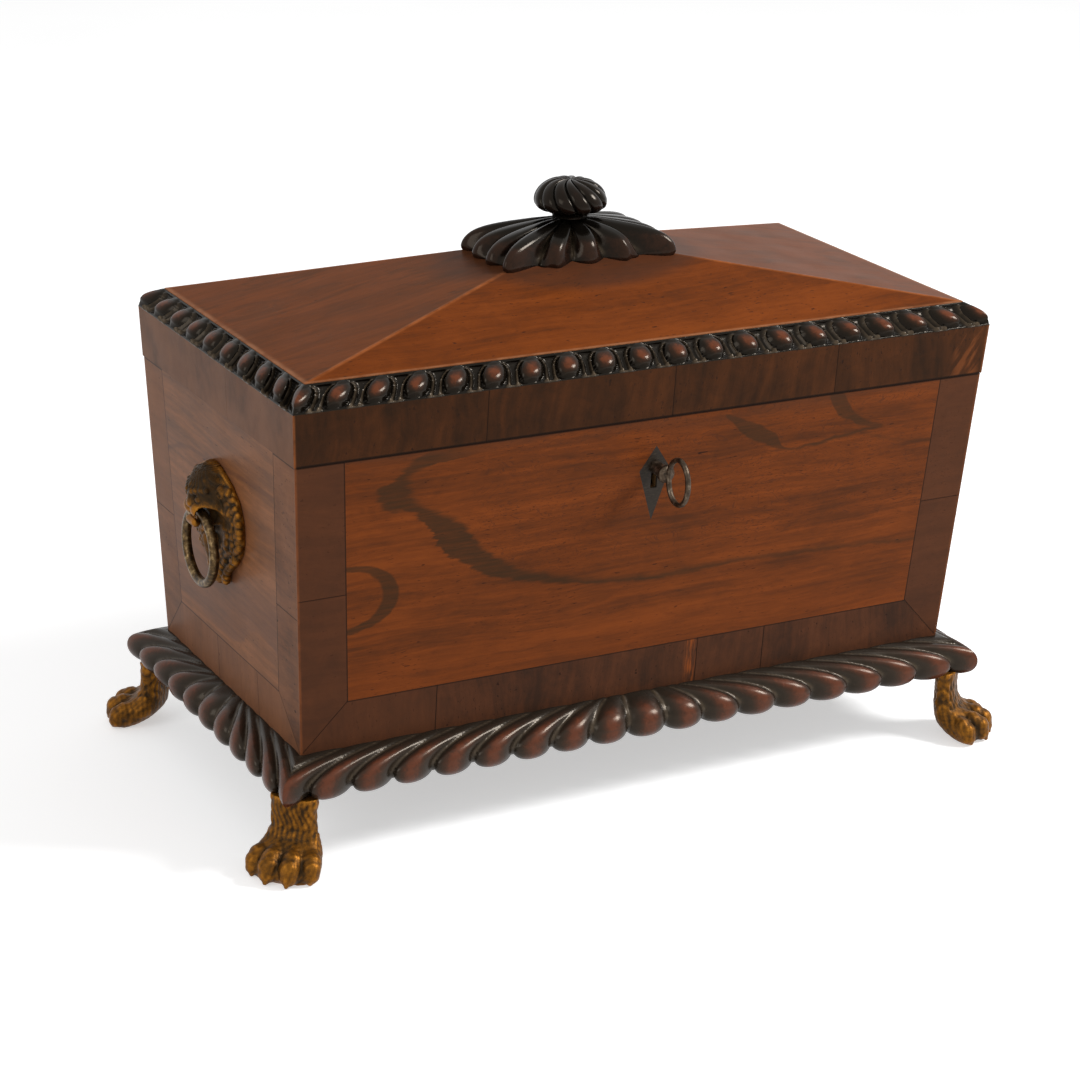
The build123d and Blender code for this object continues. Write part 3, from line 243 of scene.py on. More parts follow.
# Each wood from light to dark, then pores, joints and dark figure, and the tint of the gloss
PANEL_TONES = tones((121, 61, 26), (102, 52, 24), (78, 43, 24))
BAND_TONES = tones((86, 51, 33), (72, 44, 30), (54, 36, 27))
# the ends' crossbanding tones are their own wood, lightened by a painted sheen
END_BAND_TONES_WITH_SHEEN = tones((124, 82, 56), (108, 71, 49), (84, 57, 43))
FRIEZE_TONES = tones((76, 43, 23), (60, 35, 20), (44, 28, 18))
# the ends' veneer tones are their own wood, lightened by a painted sheen
END_TONES_WITH_SHEEN = tones((138, 90, 58), (120, 78, 51), (98, 66, 47))
ROOF_TONES = tones((119, 59, 22), (102, 50, 19), (78, 41, 20))
PORE, LINE, FIGURE = tones((38, 24, 18), (30, 20, 15), (57, 40, 26))
WARM = (1.0, 0.86, 0.7, 1.0)


def veneer(s, g, c, seed, wood, pores=1.0):
    """Colour and height of rosewood veneer with its grain along g and its width along c."""
    light, mid, dark = wood
    # each layer of grain has its own pitch along the grain and across it
    bent = s.noise(g * 0.011, c * 0.02, seed, 2) * 9.0 + c
    broad = s.noise(g * 0.006, bent * 0.075, seed + 2.1, 4, 0.55, 0.5)
    streak = s.noise(g * 0.02, bent * 0.55, seed + 5.3, 5, 0.62)
    fine = s.noise(g * 0.11, bent * 2.6, seed + 7.7, 3, 0.6)
    cloud = s.noise(g * 0.028, c * 0.035, seed + 9.1, 3, 0.6)
    mottle = s.noise(g * 0.08, c * 0.3, seed + 4.4, 5, 0.72, 0.8)
    tone = streak * 0.45 + broad * 0.62 + cloud * 0.25 + mottle * 0.36 - 0.34
    colour = s.ramp(tone, [(0.33, dark), (0.49, mid), (0.66, light)])
    colour = s.mix(s.step(fine, 0.52, 0.72, 0.22), colour, dark)
    dash = s.noise(g * 0.26, bent * 1.7, seed + 11.9, 2, 0.6)
    spot = s.step(cloud * 0.3 + dash, 0.8, 0.9, 0.7 * pores)
    pit = s.noise(g * 0.16, c * 0.75, seed + 15.2, 2, 0.5)
    knot = s.step(pit, 0.71, 0.76, 0.85 * pores)
    colour = s.mix(knot, s.mix(spot, colour, PORE), PORE)
    return colour, fine * 0.35 - s.calc("MAXIMUM", spot, knot)


def satin(s, colour, height, rough=0.36, level=0.045):
    """Old polish, duller in patches."""
    wear = s.even_noise(0.05, 3) * 0.14 - 0.07
    return s.finish(colour, wear + rough, height, 0.22, 0.00018, Specular_IOR_Level=level, Specular_Tint=WARM)


def edge_wear_and_highlight(s, colour, share, tint):
    """Lighter line in patches along an edge: worn varnish on most edges, and a painted highlight on the
    roof's eaves.
    """
    patchy = s.step(s.even_noise(0.08, 4, 0.65), 0.34, 0.64) * 0.65 + 0.35
    return s.mix(share * patchy, colour, tint)


def seam(s, colour, far, width, share=0.85):
    """Thin dark joint where a distance is near zero."""
    near = s.step(abs(far), width, width * 0.4, share)
    return s.mix(near, colour, LINE)


def shut_line(s, colour):
    return seam(s, colour, s.z - SHUT_Z, 1.0, 0.9)


# Outlines of the dark figure in the front panel: across and up, and the reverse for the upright hook
SWEEP_TOP = [
    (-122, 151), (-109, 148), (-103, 144), (-94.4, 139.5), (-85.3, 133.9), (-78, 124.6), (-70, 117.6),
    (-61.8, 112.5), (-52.5, 108.5), (-38.4, 104.3), (-20.7, 100.6), (6.7, 98.9), (45, 99.2), (83, 98.0),
    (109, 96.9), (138, 94.6),
]
SWEEP_LOW = [
    (-122, 146), (-109.7, 142.9), (-100.6, 134.1), (-97.2, 128.0), (-91.3, 121.5), (-79.8, 114.3),
    (-69.4, 108.6), (-55.6, 104.7), (-38.2, 101.4), (-20.6, 98.4), (6.9, 96.6), (45, 97.8), (83, 96.6),
    (109, 95.6), (138, 93.3),
]
HOOK_LEFT = [
    (142, -114), (145.5, -120.4), (149.9, -123), (155.1, -122), (157.6, -115.6), (162.8, -110.6), (168, -101),
]
HOOK_RIGHT = [
    (142, -108), (148, -108.8), (154.3, -109.1), (159.4, -108), (161.6, -101), (163.5, -80), (168, -60),
]
BOAT_LOW = [
    (31, 165), (39.4, 157.5), (44.7, 153), (52.3, 149.8), (61.3, 146), (77.4, 145.6), (92.2, 147.8),
    (112.2, 150),
]
BOAT_TOP = [
    (31, 166), (42.6, 161.5), (51.5, 157), (57.4, 152.9), (61.7, 147.4), (77.2, 147), (92, 149.2),
    (112.2, 150.6),
]
KEEL_LOW = [(81, 169), (87, 159.1), (92.5, 155.6), (101.9, 151), (112.2, 149.6)]
KEEL_TOP = [(81, 174), (90, 166), (94.5, 159.8), (101.4, 154.4), (112.2, 150.3)]
TAIL = [(95, 150.5), (109, 145.6), (122, 142.3), (138, 140)]
EYE_OUTER, EYE_INNER = (-134.4, 109.2, 21.5, 14.6), (-135.5, 109.4, 15.6, 12.3)


def front_panel():
    s = Shade("rosewood_front")
    colour, height = veneer(s, s.x, s.z, 1.0, PANEL_TONES)
    # wavy fine lines inside the arch of the figure
    wave = s.noise(s.x * 0.03, s.z * 0.11, 3.0, 4, 0.6, 1.0)
    line = abs(s.calc("FRACT", wave * 13.0) - 0.5)
    inside = s.step(s.z, 100, 112) * s.step(s.x, -95, -70)
    colour = s.mix(s.step(line, 0.09, 0.02, 0.6) * inside, colour, lin(72, 42, 28))
    # tongues of the dark figure run out along the grain
    tongue = s.noise(s.x * 0.03, s.z * 0.42, 8.0, 3, 0.6)
    x = (tongue - 0.5) * 11.0 + s.x
    ripple = s.noise(s.x * 0.13, s.z * 0.2, 5.0, 3)
    z = (ripple - 0.5) * 3.0 + s.z
    fade = s.noise(s.x * 0.08, s.z * 0.9, 2.0, 3)
    up, down = (60, 170), (60, 180)
    sweep = s.between(z, s.curve(x, SWEEP_LOW, *up), s.curve(x, SWEEP_TOP, *up), 0.9, 2.0)
    sweep = sweep * s.step(s.x, -124, -119)
    hook = s.between(x, s.curve(z, HOOK_LEFT, -150, -30), s.curve(z, HOOK_RIGHT, -150, -30), 1.8, 2.6)
    hook = hook * s.span(z, 144, 167, 1.5) * s.step(s.x, -68, -102)
    boat = s.between(z, s.curve(s.x, BOAT_LOW, *up), s.curve(s.x, BOAT_TOP, *up), 0.6)
    boat = boat * s.span(s.x, 32, 111)
    keel = s.between(z, s.curve(s.x, KEEL_LOW, *down), s.curve(s.x, KEEL_TOP, *down), 0.7)
    keel = keel * s.span(s.x, 82, 111)
    tail = s.curve(s.x, TAIL, *up)
    tail = s.between(z, tail - 0.7, tail + 0.7, 0.6) * s.span(s.x, 97, 150, 4)
    outer, inner = (s.ellipse(s.x - u, z - v, *radii) for u, v, *radii in (EYE_OUTER, EYE_INNER))
    eye = s.step(outer, 1.03, 0.97) * s.step(inner, 0.95, 1.05)
    dark = sweep
    for part, weight in ((hook, 0.92), (boat, 0.85), (keel, 0.85), (eye, 0.95), (tail, 0.4)):
        dark = s.calc("MAXIMUM", dark, part * weight)
    dark = s.calc("MULTIPLY", dark, fade * 0.7 + 0.46, clamp=True)
    colour = s.mix(dark, colour, FIGURE)
    # darker in patches along the top edge, and lighter towards the foot
    top_patches = s.noise(s.x * 0.02, s.z * 0.15, 12.0, 4)
    top = s.step(s.z, 158, 169) * s.step(top_patches, 0.32, 0.6)
    colour = s.mix(top * 0.55, colour, lin(70, 45, 32))
    colour = s.mix(s.step(s.z, 84, 66, 0.25), colour, lin(110, 55, 24))
    return satin(s, shut_line(s, colour), height)


# Moves a joint off the strip that it isn't on
AWAY = 999.0


def band(name, side, joints, low_joint):
    """Crossbanding of one pair of sides: grain square to each strip, its own tone for each length."""
    s = Shade(name)
    front = side == "front"
    u, half, slope = (s.x, HALF_W, SLOPE_W) if front else (s.y, HALF_D, SLOPE_D)
    up = s.z - BASE_Z
    edge = up * slope + half - abs(u)
    stile = up > edge
    rail = 1.0 - stile
    number = (s.z > low_joint) * stile + stile * (s.calc("SIGN", u) * 1.5 + 4.0)
    for joint in joints:
        number = number + (u > joint) * rail
    if not front:
        number = number + s.calc("SIGN", s.x) * 9.0
    seed = number * 7.3
    g = u * stile + s.z * rail + seed
    c = s.z * stile + u * rail + seed
    # on the ends the tones hold a painted sheen
    wood = BAND_TONES if front else END_BAND_TONES_WITH_SHEEN
    colour, height = veneer(s, g * 1.8, c * 0.55, 21.0, wood)
    tone = s.noise(seed, 0.3, 0.7, 0)
    colour = s.mix(s.step(tone, 0.3, 0.7, 0.45), colour, wood[0])
    if front:
        flame = s.step(abs(u - 25.0), 4.0, 0.5) * rail
        flame = flame * s.step(s.noise(u * 0.9, s.z * 0.08, 2.0, 3), 0.42, 0.6)
        colour = s.mix(flame * 0.75, colour, lin(140, 72, 32))
    for joint in joints:
        colour = seam(s, colour, u - joint + stile * AWAY, 0.35, 0.7)
    colour = seam(s, colour, up - edge, 0.4, 0.7)
    colour = seam(s, colour, s.z - low_joint + rail * AWAY, 0.35, 0.6)
    inner = s.calc("MINIMUM", up, edge) - (stile * 0.3 + BANDING)
    colour = shut_line(s, seam(s, colour, inner, 0.75, 0.75))
    colour = edge_wear_and_highlight(s, colour, s.step(edge, 1.3, 0.3, 0.55), lin(132, 76, 44))
    return satin(s, colour, height, 0.38)


def frieze():
    """Crossbanded veneer round the lid, upright in its grain."""
    s = Shade("rosewood_frieze")
    joints = (-78.0, 6.0, 84.0)
    ends = abs(s.x) / FRIEZE_W > abs(s.y) / FRIEZE_D
    fronts = 1.0 - ends
    u = s.y * ends + s.x * fronts
    number = ends * 5.0
    for joint in joints:
        number = number + (s.x > joint) * fronts
    seed = (number + (s.y * s.calc("SIGN", s.x) > 14.0) * ends) * 9.7
    colour, height = veneer(s, (s.z + seed) * 1.6, (u + seed) * 0.42, 41.0, FRIEZE_TONES)
    corner = s.step(abs(s.x - 150.0), 9.0, 3.0) * fronts
    flame = s.noise(s.x * 0.3 - s.z * 0.2, s.z * 0.05, 6.0, 3)
    colour = s.mix(corner * s.step(flame, 0.5, 0.64, 0.4), colour, lin(136, 76, 40))
    for joint in joints:
        colour = seam(s, colour, s.x - joint + ends * AWAY, 0.35, 0.6)
    colour = shut_line(s, colour)
    # the ends are lighter in patches: a painted sheen, as in the ends' own tones
    warm = s.noise(u * 0.05, s.z * 0.04, 44.0, 3, 0.6)
    colour = s.mix(ends * s.step(warm, 0.1, 0.7, 0.9), colour, lin(112, 74, 50))
    edge = (s.z - BASE_Z) * SLOPE_W + (HALF_W + 0.4) - abs(s.x)
    colour = edge_wear_and_highlight(s, colour, s.step(edge, 1.3, 0.2, 0.8) * fronts, lin(140, 82, 46))
    return satin(s, colour, height, 0.36)


def end_panel():
    """Veneer of the ends, with a greyer figure in the lower half and an arch above."""
    s = Shade("rosewood_end")
    y = s.y * s.calc("SIGN", s.x)
    # the ends' tones hold a painted sheen, the white floor's reflection
    colour, height = veneer(s, y, s.z, 61.0, END_TONES_WITH_SHEEN, 0.8)
    warm = s.noise(y * 0.02, s.z * 0.05, 63.0, 3, 0.5, 1.0)
    tongue = s.noise(y * 0.05, s.z * 0.5, 68.0, 3)
    bent = (tongue - 0.5) * 10.0 + y
    lower = [(-52, 71), (-33, 70.8), (-11.5, 69), (16, 73), (24.7, 80.3), (45.4, 82.7), (56, 78)]
    grey = s.step(s.z - s.curve(bent, lower, 40, 120), -1.0, 1.0) * s.step(s.z, 112, 92)
    colour = s.mix(grey * (warm * 0.5 + 0.15), colour, lin(92, 66, 56))
    arch = [(-56, 134.6), (-33.6, 141.5), (-17, 143), (0, 144), (23, 146.3), (56, 148)]
    near = abs(s.z - s.curve(bent, arch, 100, 170))
    colour = s.mix(s.step(near, 1.6, 0.4, 0.4), colour, lin(76, 52, 44))
    return satin(s, colour, height, 0.34)


def roof():
    """Veneers of the four slopes, each its own sheet, with worn hips, a painted highlight along the eaves and
    painted shade round the finial.
    """
    s = Shade("rosewood_roof")
    along = abs(s.x) / ROOF_W
    aside = abs(s.y) / ROOF_D
    end = along > aside
    seed = end * 31.0 + end * (s.x < 0.0) * 17.0 + (s.y > 0.0) * 11.0
    g = s.y * 0.12 + s.x + seed
    c = s.y - s.x * 0.06 + seed
    warm, height = veneer(s, g, c * 0.6, 81.0, ROOF_TONES)
    cool = s.mix(0.45, warm, lin(96, 53, 22))
    smoke = s.noise(s.x * 0.02, s.y * 0.05, 85.0, 4, 0.65, 1.5)
    cool = s.mix(s.step(smoke, 0.5, 0.68, 0.55), cool, lin(70, 42, 22))
    colour = s.mix(end, warm, cool)
    hip = s.step(abs(along - aside), 0.022, 0.004, 0.75)
    colour = edge_wear_and_highlight(s, colour, hip, lin(160, 92, 50))
    # lighter line along the eaves: a painted highlight on the veneer's edge
    rim = s.step(s.calc("MAXIMUM", along, aside), 0.982, 0.996, 0.8)
    colour = edge_wear_and_highlight(s, colour, rim, lin(150, 100, 68))
    # darker round the finial: painted shade under it
    finial_shade = s.step(s.ellipse(s.x, s.y, 62.0, 36.0), 1.12, 0.86, 0.6)
    colour = s.mix(finial_shade, colour, lin(62, 42, 32))
    return satin(s, colour, height, 0.34, 0.014)


def carving(name, wood, dusty, shine, gloss):
    """Dark polished carving: red-brown where hands have rubbed the crests, and taken near black in the
    hollows by painted shade.
    """
    s = Shade(name)
    grain = s.even_noise(0.35, 4, 0.6, 0.6)
    # the ramp lightens the rubbed crests and takes the hollows near black, a painted shade
    worn = (grain - 0.5) * 0.6 + s.attribute("crest")
    colour = s.ramp(worn, list(zip((0.1, 0.5, 0.78, 1.0), wood)))
    dust = s.attribute("fillet") * (s.step(grain, 0.3, 0.6) * 0.5 + 0.5)
    colour = s.mix(dust * dusty, colour, lin(94, 80, 64))
    nick = s.step(s.even_noise(0.9, 2), 0.7, 0.76)
    colour = s.mix(nick * 0.4, colour, wood[0])
    rough = grain * 0.18 + (gloss - 0.05)
    height = grain * 0.5 - nick
    return s.finish(colour, rough, height, 0.16, 0.0003, Specular_IOR_Level=shine, Specular_Tint=WARM)


def gilt():
    """Cast brass whose gilding has worn to ochre, with dark patina in the hollows."""
    s = Shade("gilt_brass")
    patch = s.even_noise(0.16, 6, 0.75, 0.4)
    grit = s.even_noise(1.1, 3, 0.6)
    tone = patch * 0.7 - 0.16 + s.attribute("relief") * 0.48
    metals = tones((26, 21, 13), (60, 41, 19), (110, 70, 22), (156, 102, 34), (206, 170, 108))
    colour = s.ramp(tone, list(zip((0.2, 0.41, 0.58, 0.78, 0.94), metals)))
    colour = s.mix(s.step(grit, 0.56, 0.72, 0.55), colour, lin(58, 42, 24))
    metallic = s.step(tone, 0.3, 0.75) * 0.45 + 0.3
    rough = grit * 0.3 + 0.3
    height = patch + grit * 0.6
    return s.finish(colour, rough, height, 0.45, 0.0004, Metallic=metallic, Specular_IOR_Level=0.08)


def metal(name, metals, rough, metallic=0.85):
    """Plain old metal, given by its tones from dark to light."""
    s = Shade(name)
    patch = s.even_noise(0.5, 4, 0.6)
    scratch = s.even_noise(2.5, 2, 0.5)
    colour = s.ramp(patch, list(zip((0.3, 0.52, 0.74), metals)))
    return s.finish(colour, scratch * 0.25 + (rough - 0.1), scratch, 0.12, 0.0002, Metallic=metallic)


def inlay():
    s = Shade("dark_inlay")
    fine = s.noise(s.x * 0.6, s.z * 1.4, 2.0, 4)
    colour = s.ramp(fine, list(zip((0.3, 0.6, 0.8), tones((36, 30, 25), (47, 40, 33), (62, 54, 44)))))
    return s.finish(colour, fine * 0.2 + 0.34, fine, 0.12, 0.0002, Specular_IOR_Level=0.12)


def plain_wood(name, wood, upright, rough):
    s = Shade(name)
    g, c = (s.z, s.x + s.y) if upright else (s.x, s.y + s.z)
    colour, height = veneer(s, g, c, 121.0, wood, 0.5)
    return satin(s, colour, height, rough)


def velvet():
    s = Shade("velvet")
    nap = s.even_noise(0.09, 4, 0.6)
    thread = s.even_noise(3.0, 2)
    colour = s.ramp(nap, list(zip((0.3, 0.55, 0.8), tones((58, 22, 24), (84, 32, 32), (104, 46, 42)))))
    return s.finish(colour, 0.92, thread, 0.35, 0.0003, Sheen_Weight=0.5, Sheen_Roughness=0.4)


def glass():
    s = Shade("clear_glass")
    swirl = s.even_noise(0.04, 2, 0.5, 1.0)
    clear = dict(Transmission_Weight=1.0, IOR=1.5)
    return s.finish(lin(236, 242, 238), swirl * 0.04 + 0.01, swirl, 0.06, 0.0006, **clear)


def back_panel():
    s = Shade("rosewood_back")
    return satin(s, *veneer(s, s.x, s.z, 101.0, PANEL_TONES))


LOBE_TONES = tones((34, 28, 22), (44, 33, 26), (60, 37, 27), (88, 47, 31))
EGG_TONES = tones((13, 10, 7), (24, 17, 11), (48, 28, 18), (94, 48, 27))
FINIAL_TONES = tones((10, 8, 6), (14, 11, 8), (23, 15, 11), (42, 25, 17))
CARVED = carving("carved_moulding", LOBE_TONES, 0.45, 0.21, 0.2)
EGGS = carving("carved_eggs", EGG_TONES, 0.75, 0.16, 0.14)
FINIAL = carving("carved_finial", FINIAL_TONES, 0.7, 0.15, 0.14)
GILT = gilt()
STEEL = metal("steel", tones((52, 46, 40), (92, 84, 74), (148, 140, 128)), 0.36)
KEY_STEEL = metal("key_steel", tones((40, 32, 25), (72, 59, 46), (124, 110, 94)), 0.4, 0.8)
BRASS = metal("brass", tones((84, 62, 30), (134, 102, 54), (176, 142, 84)), 0.38)
RING = metal("ring_brass", tones((40, 32, 22), (84, 64, 38), (150, 126, 88)), 0.36)
INSIDE = plain_wood("inner_rosewood", tones((110, 66, 42), (88, 54, 36), (66, 42, 31)), True, 0.42)
CARCASE = plain_wood("carcase_wood", tones((142, 110, 72), (124, 94, 60), (104, 76, 48)), False, 0.62)
FINISH = {
    "front_veneer": front_panel(),
    "back_veneer": back_panel(),
    "front_crossbanding": band("crossbanding_front", "front", (-94.0, 28.0, 61.0), 112.0),
    "end_crossbanding": band("crossbanding_end", "end", (-30.0, 12.0), 104.0),
    "lid_frieze": frieze(),
    "roof_veneers": roof(),
    "escutcheon": inlay(),
    "mixing_bowl": glass(),
    "bottom_board": plain_wood("bottom_wood", tones((112, 84, 58), (94, 70, 48), (74, 55, 40)), False, 0.7),
}
for material, names in (
    (end_panel(), "left_veneer right_veneer"),
    (velvet(), "lid_lining floor_linings"),
    (CARCASE, "carcase_front carcase_back carcase_left carcase_right roof_board lid_rails"),
    (INSIDE, "partitions ledges well_board canister_left canister_right"),
    (INSIDE, "canister_left_lid canister_right_lid"),
    (BRASS, "lock_case lock_top_plate hinge_leaves_lower hinge_leaves_upper link_plate lock_bolt hinge_pins"),
    (STEEL, "box_screws lid_screws drill_pin foot_studs key"),
    (RING, "ring_left ring_right"),
):
    FINISH.update(dict.fromkeys(names.split(), material))
for name, obj in nodes.items():
    obj.data.materials.clear()
    obj.data.materials.append(FINISH.get(name, CARVED))


# Meshes

def add_object(name, data):
    obj = bpy.data.objects.new(name, data)
    bpy.context.scene.collection.objects.link(obj)
    return obj


def build(name, verts, faces, material, slot, body, replaced, sharp=50.0, **layers):
    """Mesh object from points in millimetres, with layers of shares for its shader."""
    mesh = bpy.data.meshes.new(name)
    mesh.from_pydata((np.reshape(verts, (-1, 3)) / MM).tolist(), [], faces)
    for key, values in layers.items():
        layer = mesh.attributes.new(key, "FLOAT", "POINT")
        layer.data.foreach_set("value", np.ravel(values).astype(np.float32))
    mesh.validate()
    mesh.shade_smooth()
    mesh.set_sharp_from_angle(angle=math.radians(sharp))
    mesh.materials.append(material)
    obj = add_object(name, mesh)
    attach(obj, body)
    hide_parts(*replaced)


def strip(rows, cols, wrap_rows=False, wrap_cols=False):
    """Quads over a grid of points."""
    i, j = np.indices((rows - (not wrap_rows), cols - (not wrap_cols))).reshape(2, -1)
    k, l = (i + 1) % rows, (j + 1) % cols
    return np.stack([i * cols + j, k * cols + j, k * cols + l, i * cols + l], 1).tolist()


def tube(rows, cols, closed=False):
    """Faces of a tube whose rows are rings of points: closed on itself, or else capped at both ends."""
    faces = strip(rows, cols, closed, True)
    if not closed:
        faces += [list(range(cols)), [rows * cols - 1 - k for k in range(cols)]]
    return faces


def around(count):
    return np.linspace(0, 2 * np.pi, count, endpoint=False)


def resample(points, count, rounds=2):
    """Even points along a line whose corners are first cut smooth, and how far along it each lies."""
    line = np.array(points, float)
    for _ in range(rounds):
        a, b = line[:-1], line[1:]
        cut = np.stack([a * 0.75 + b * 0.25, a * 0.25 + b * 0.75], 1).reshape(-1, 2)
        line = np.vstack([line[:1], cut, line[-1:]])
    far = np.concatenate([[0], np.cumsum(np.linalg.norm(np.diff(line, axis=0), axis=1))])
    at = np.linspace(0, far[-1], count)
    return np.stack([np.interp(at, far, line[:, k]) for k in (0, 1)], 1), at


def smooth(t):
    t = np.clip(t, 0, 1)
    return t * t * (3 - 2 * t)


def hump(t, start, rise, end, fall):
    """Smooth rise after the start, and smooth fall after the end."""
    return smooth((t - start) / rise) * (1 - smooth((t - end) / fall))


def blend_in(a, b, k):
    """Smaller of two values, rounded where they meet."""
    h = np.clip(0.5 + 0.5 * (b - a) / k, 0, 1)
    return b + (a - b) * h - k * h * (1 - h)


def off_crest(count):
    """Distance to the nearest whole number: 0 on the crest of a lobe, 0.5 between two lobes."""
    return np.abs(count - np.round(count))


def lobe(off, half, flat, steep):
    """Height across a lobe: 1 on its crest, 0 beyond its half width."""
    return np.clip(1 - (off / half) ** flat, 0, 1) ** steep


def rib_line(off):
    """Height of the narrow rib between two lobes."""
    return np.exp(-((0.5 - off) / 0.06) ** 2)


def normals(line):
    """Outward unit normals along a profile."""
    steps = np.gradient(line, axis=0)
    steps /= np.linalg.norm(steps, axis=1)[:, None]
    normal = np.stack([-steps[:, 1], steps[:, 0]], 1)
    return normal if normal[len(line) // 2, 0] > 0 else -normal


def by_side(side, lengthwise, crosswise):
    """The two values in the order along and across a side."""
    return (lengthwise, crosswise) if side in ("front", "back") else (crosswise, lengthwise)


def place(side, u, n):
    """X and Y of what lies u along a side and n out from the middle."""
    (ux, uy), (nx, ny) = OUTWARD[side]
    return u * ux + n * nx, u * uy + n * ny + SHIFT


def on_side(side, level, u, up, proud):
    """Points given along, up and out from a spot at some level on a leaning side."""
    _, (half, slope) = by_side(side, (HALF_W, SLOPE_W), (HALF_D, SLOPE_D))
    lean = math.atan(slope)
    n = half + (level - BASE_Z) * slope + proud * math.cos(lean) + up * math.sin(lean)
    x, y = place(side, u, n)
    return np.stack([x, y, level + up * math.cos(lean) - proud * math.sin(lean)], 1)


def moulding(name, side, halves, v, line, reach, inner, material, body, replaced, crest, fillet):
    """Closed length of moulding: a line moved outward by its reach, swept between the mitres."""
    outer = line + reach[..., None] * normals(line)
    back = np.broadcast_to(inner, (len(v), len(inner), 2))
    out, up = np.moveaxis(np.concatenate([outer, back], 1), 2, 0)
    x, y = place(side, v[:, None] * (halves[0] + out), halves[1] + out)
    crest, fillet = (np.pad(share, ((0, 0), (0, len(inner)))) for share in (crest, fillet))
    build(name, np.stack([x, y, up], 2), tube(*out.shape), material, "carved_rosewood", body, replaced,
          crest=crest, fillet=fillet)


def gadroon(side, lobes):
    """Base moulding: lobes that sweep out from thin tails to fat noses, with fillets between them."""
    line, far = resample([
        (0, BASE_Z), (1.0, 44.9), (3.5, 43.7), (7.0, 41.3), (9.6, 38.4), (10.6, 35.4), (9.8, 32.8),
        (7.6, 31.4), (4.0, FOOT_TOP), (1.0, FOOT_TOP),
    ], 46)
    # 0 at the tail and 1 at the nose
    t = far / far[np.argmax(line[:, 0])]
    total, per_lobe = lobes + 1, 26
    v = np.linspace(-1, 1, 2 * total * per_lobe + 1)
    order = np.linspace(0, total + 3, 1500)
    # lobes lean more the further they are from the middle of the side
    lean = 1.62 * smooth(order / 3.4)
    sweep = np.clip(1 - t, 0, 1) ** 1.7
    leaning = [np.interp(np.abs(v) * total, order - lean * share, order) for share in sweep]
    off = off_crest(np.stack(leaning, 1))
    lobe_high = (0.45 + 3.05 * smooth(t / 0.95)) * (1 - smooth((t - 1.18) / 0.62))
    rib_high = 0.7 * hump(t, 0, 0.12, 0.75, 0.4)
    body, rib = lobe(off, 0.445, 2.1, 0.62), rib_line(off)
    reach = lobe_high * body + rib_high * rib
    # the crest share fades out at the wall and beneath the noses: painted shade there
    moulding(f"gadroons_{side}", side, by_side(side, HALF_W, HALF_D), v, line, reach,
             [(-14, FOOT_TOP), (-14, BASE_Z)], CARVED, "chest", [f"base_moulding_{side}"],
             body ** 2 * hump(t, 0, 0.7, 1.25, 0.4), rib * smooth(rib_high / 0.5))


# The camera looks down over the roof's edge this steeply
SIGHT_SLOPE = 0.447


def beading(side, beads):
    """Lid moulding: fat upright eggs, each in a thin U of fillet, over flared feet."""
    line, far = resample([
        (8.5, FRIEZE_TOP), (8.5, 190.1), (7.3, 190.3), (6.4, 190.8), (5.4, 191.7), (3.6, 193.4), (1.9, 195.1),
        (1.0, 196.1), (0.6, 196.9), (0.5, 197.8), (0.45, 198.5), (0, 198.5),
    ], 56)
    halves = by_side(side, ROOF_W, BEADING_D)
    total, per_egg = (beads + 1) / 2, 32
    pitch = (halves[0] + 4.0) / total
    v = np.linspace(-1, 1, (beads + 1) * per_egg + 1)
    first = 0.5 if beads % 2 == 0 else 0.0
    # distances in millimetres from the middle of an egg, sideways and up
    du = off_crest(np.abs(v) * total - first)[:, None] * pitch
    s = far - far[np.argmin(np.hypot(line[:, 0] - 3.6, line[:, 1] - 193.4))]
    bulge = np.clip(1 - np.hypot(du / (5.3 - 0.06 * s), (s - 0.3) / 5.9) ** 2, 0, 1) ** 0.5
    loop = np.sqrt((du / 6.5) ** 2 + (np.maximum(s, 0) / 6.2) ** 2 + (np.minimum(s, 0) / 30) ** 2)
    ends = hump(s, -6.4, 0.8, 4.6, 0.8)
    rib = np.exp(-((loop - 1) / 0.07) ** 2) * ends
    foot = np.exp(-((s + 5.6) / 0.7) ** 2) * smooth((du - 4.6) / 1.2)
    slot = smooth((loop - 1.07) / 0.06) * ends
    reach = 3.3 * bulge + 1.2 * rib + 0.5 * foot - 0.5 * slot
    # nothing rises past the sight line over the roof edge
    normal = normals(line)
    room = ROOF_EDGE - 0.1 - line[:, 1] - SIGHT_SLOPE * line[:, 0]
    room = room / np.maximum(normal[:, 1] + SIGHT_SLOPE * normal[:, 0], 0.2)
    reach = np.where(room < 6, blend_in(reach, np.maximum(room, 0.2), 1.2), reach)
    moulding(f"beading_{side}", side, halves, v, line, reach, [(0, FRIEZE_TOP)], EGGS, "lid",
             [f"lid_moulding_{side}"], bulge ** 1.5, np.clip(rib * 0.75 + foot, 0, 1))


for side, lobes, beads in (("front", 8, 18), ("back", 8, 18), ("left", 4, 8), ("right", 4, 8)):
    gadroon(side, lobes)
    beading(side, beads)


def eased(value, xs, ys):
    """Value along a chain of points, flat at each one."""
    spot = np.interp(value, xs, range(len(xs)))
    spot = np.floor(spot) + (1 - np.cos(np.pi * (spot % 1))) / 2
    return np.interp(spot, range(len(ys)), ys)


def finial(name, replaced, turn, radius, z, crest, fillet):
    """Piece of the finial: profiles from its foot to its top, side by side round the middle."""
    count, cols = z.shape
    first = np.arange(count) * cols
    faces = strip(count, cols, wrap_rows=True) + [first[::-1].tolist(), (first + cols - 1).tolist()]
    verts = np.stack([radius * np.cos(turn), radius * np.sin(turn) + SHIFT, z], 2)
    build(name, verts, faces, FINIAL, "carved_rosewood", "lid", [replaced], crest=crest, fillet=fillet)


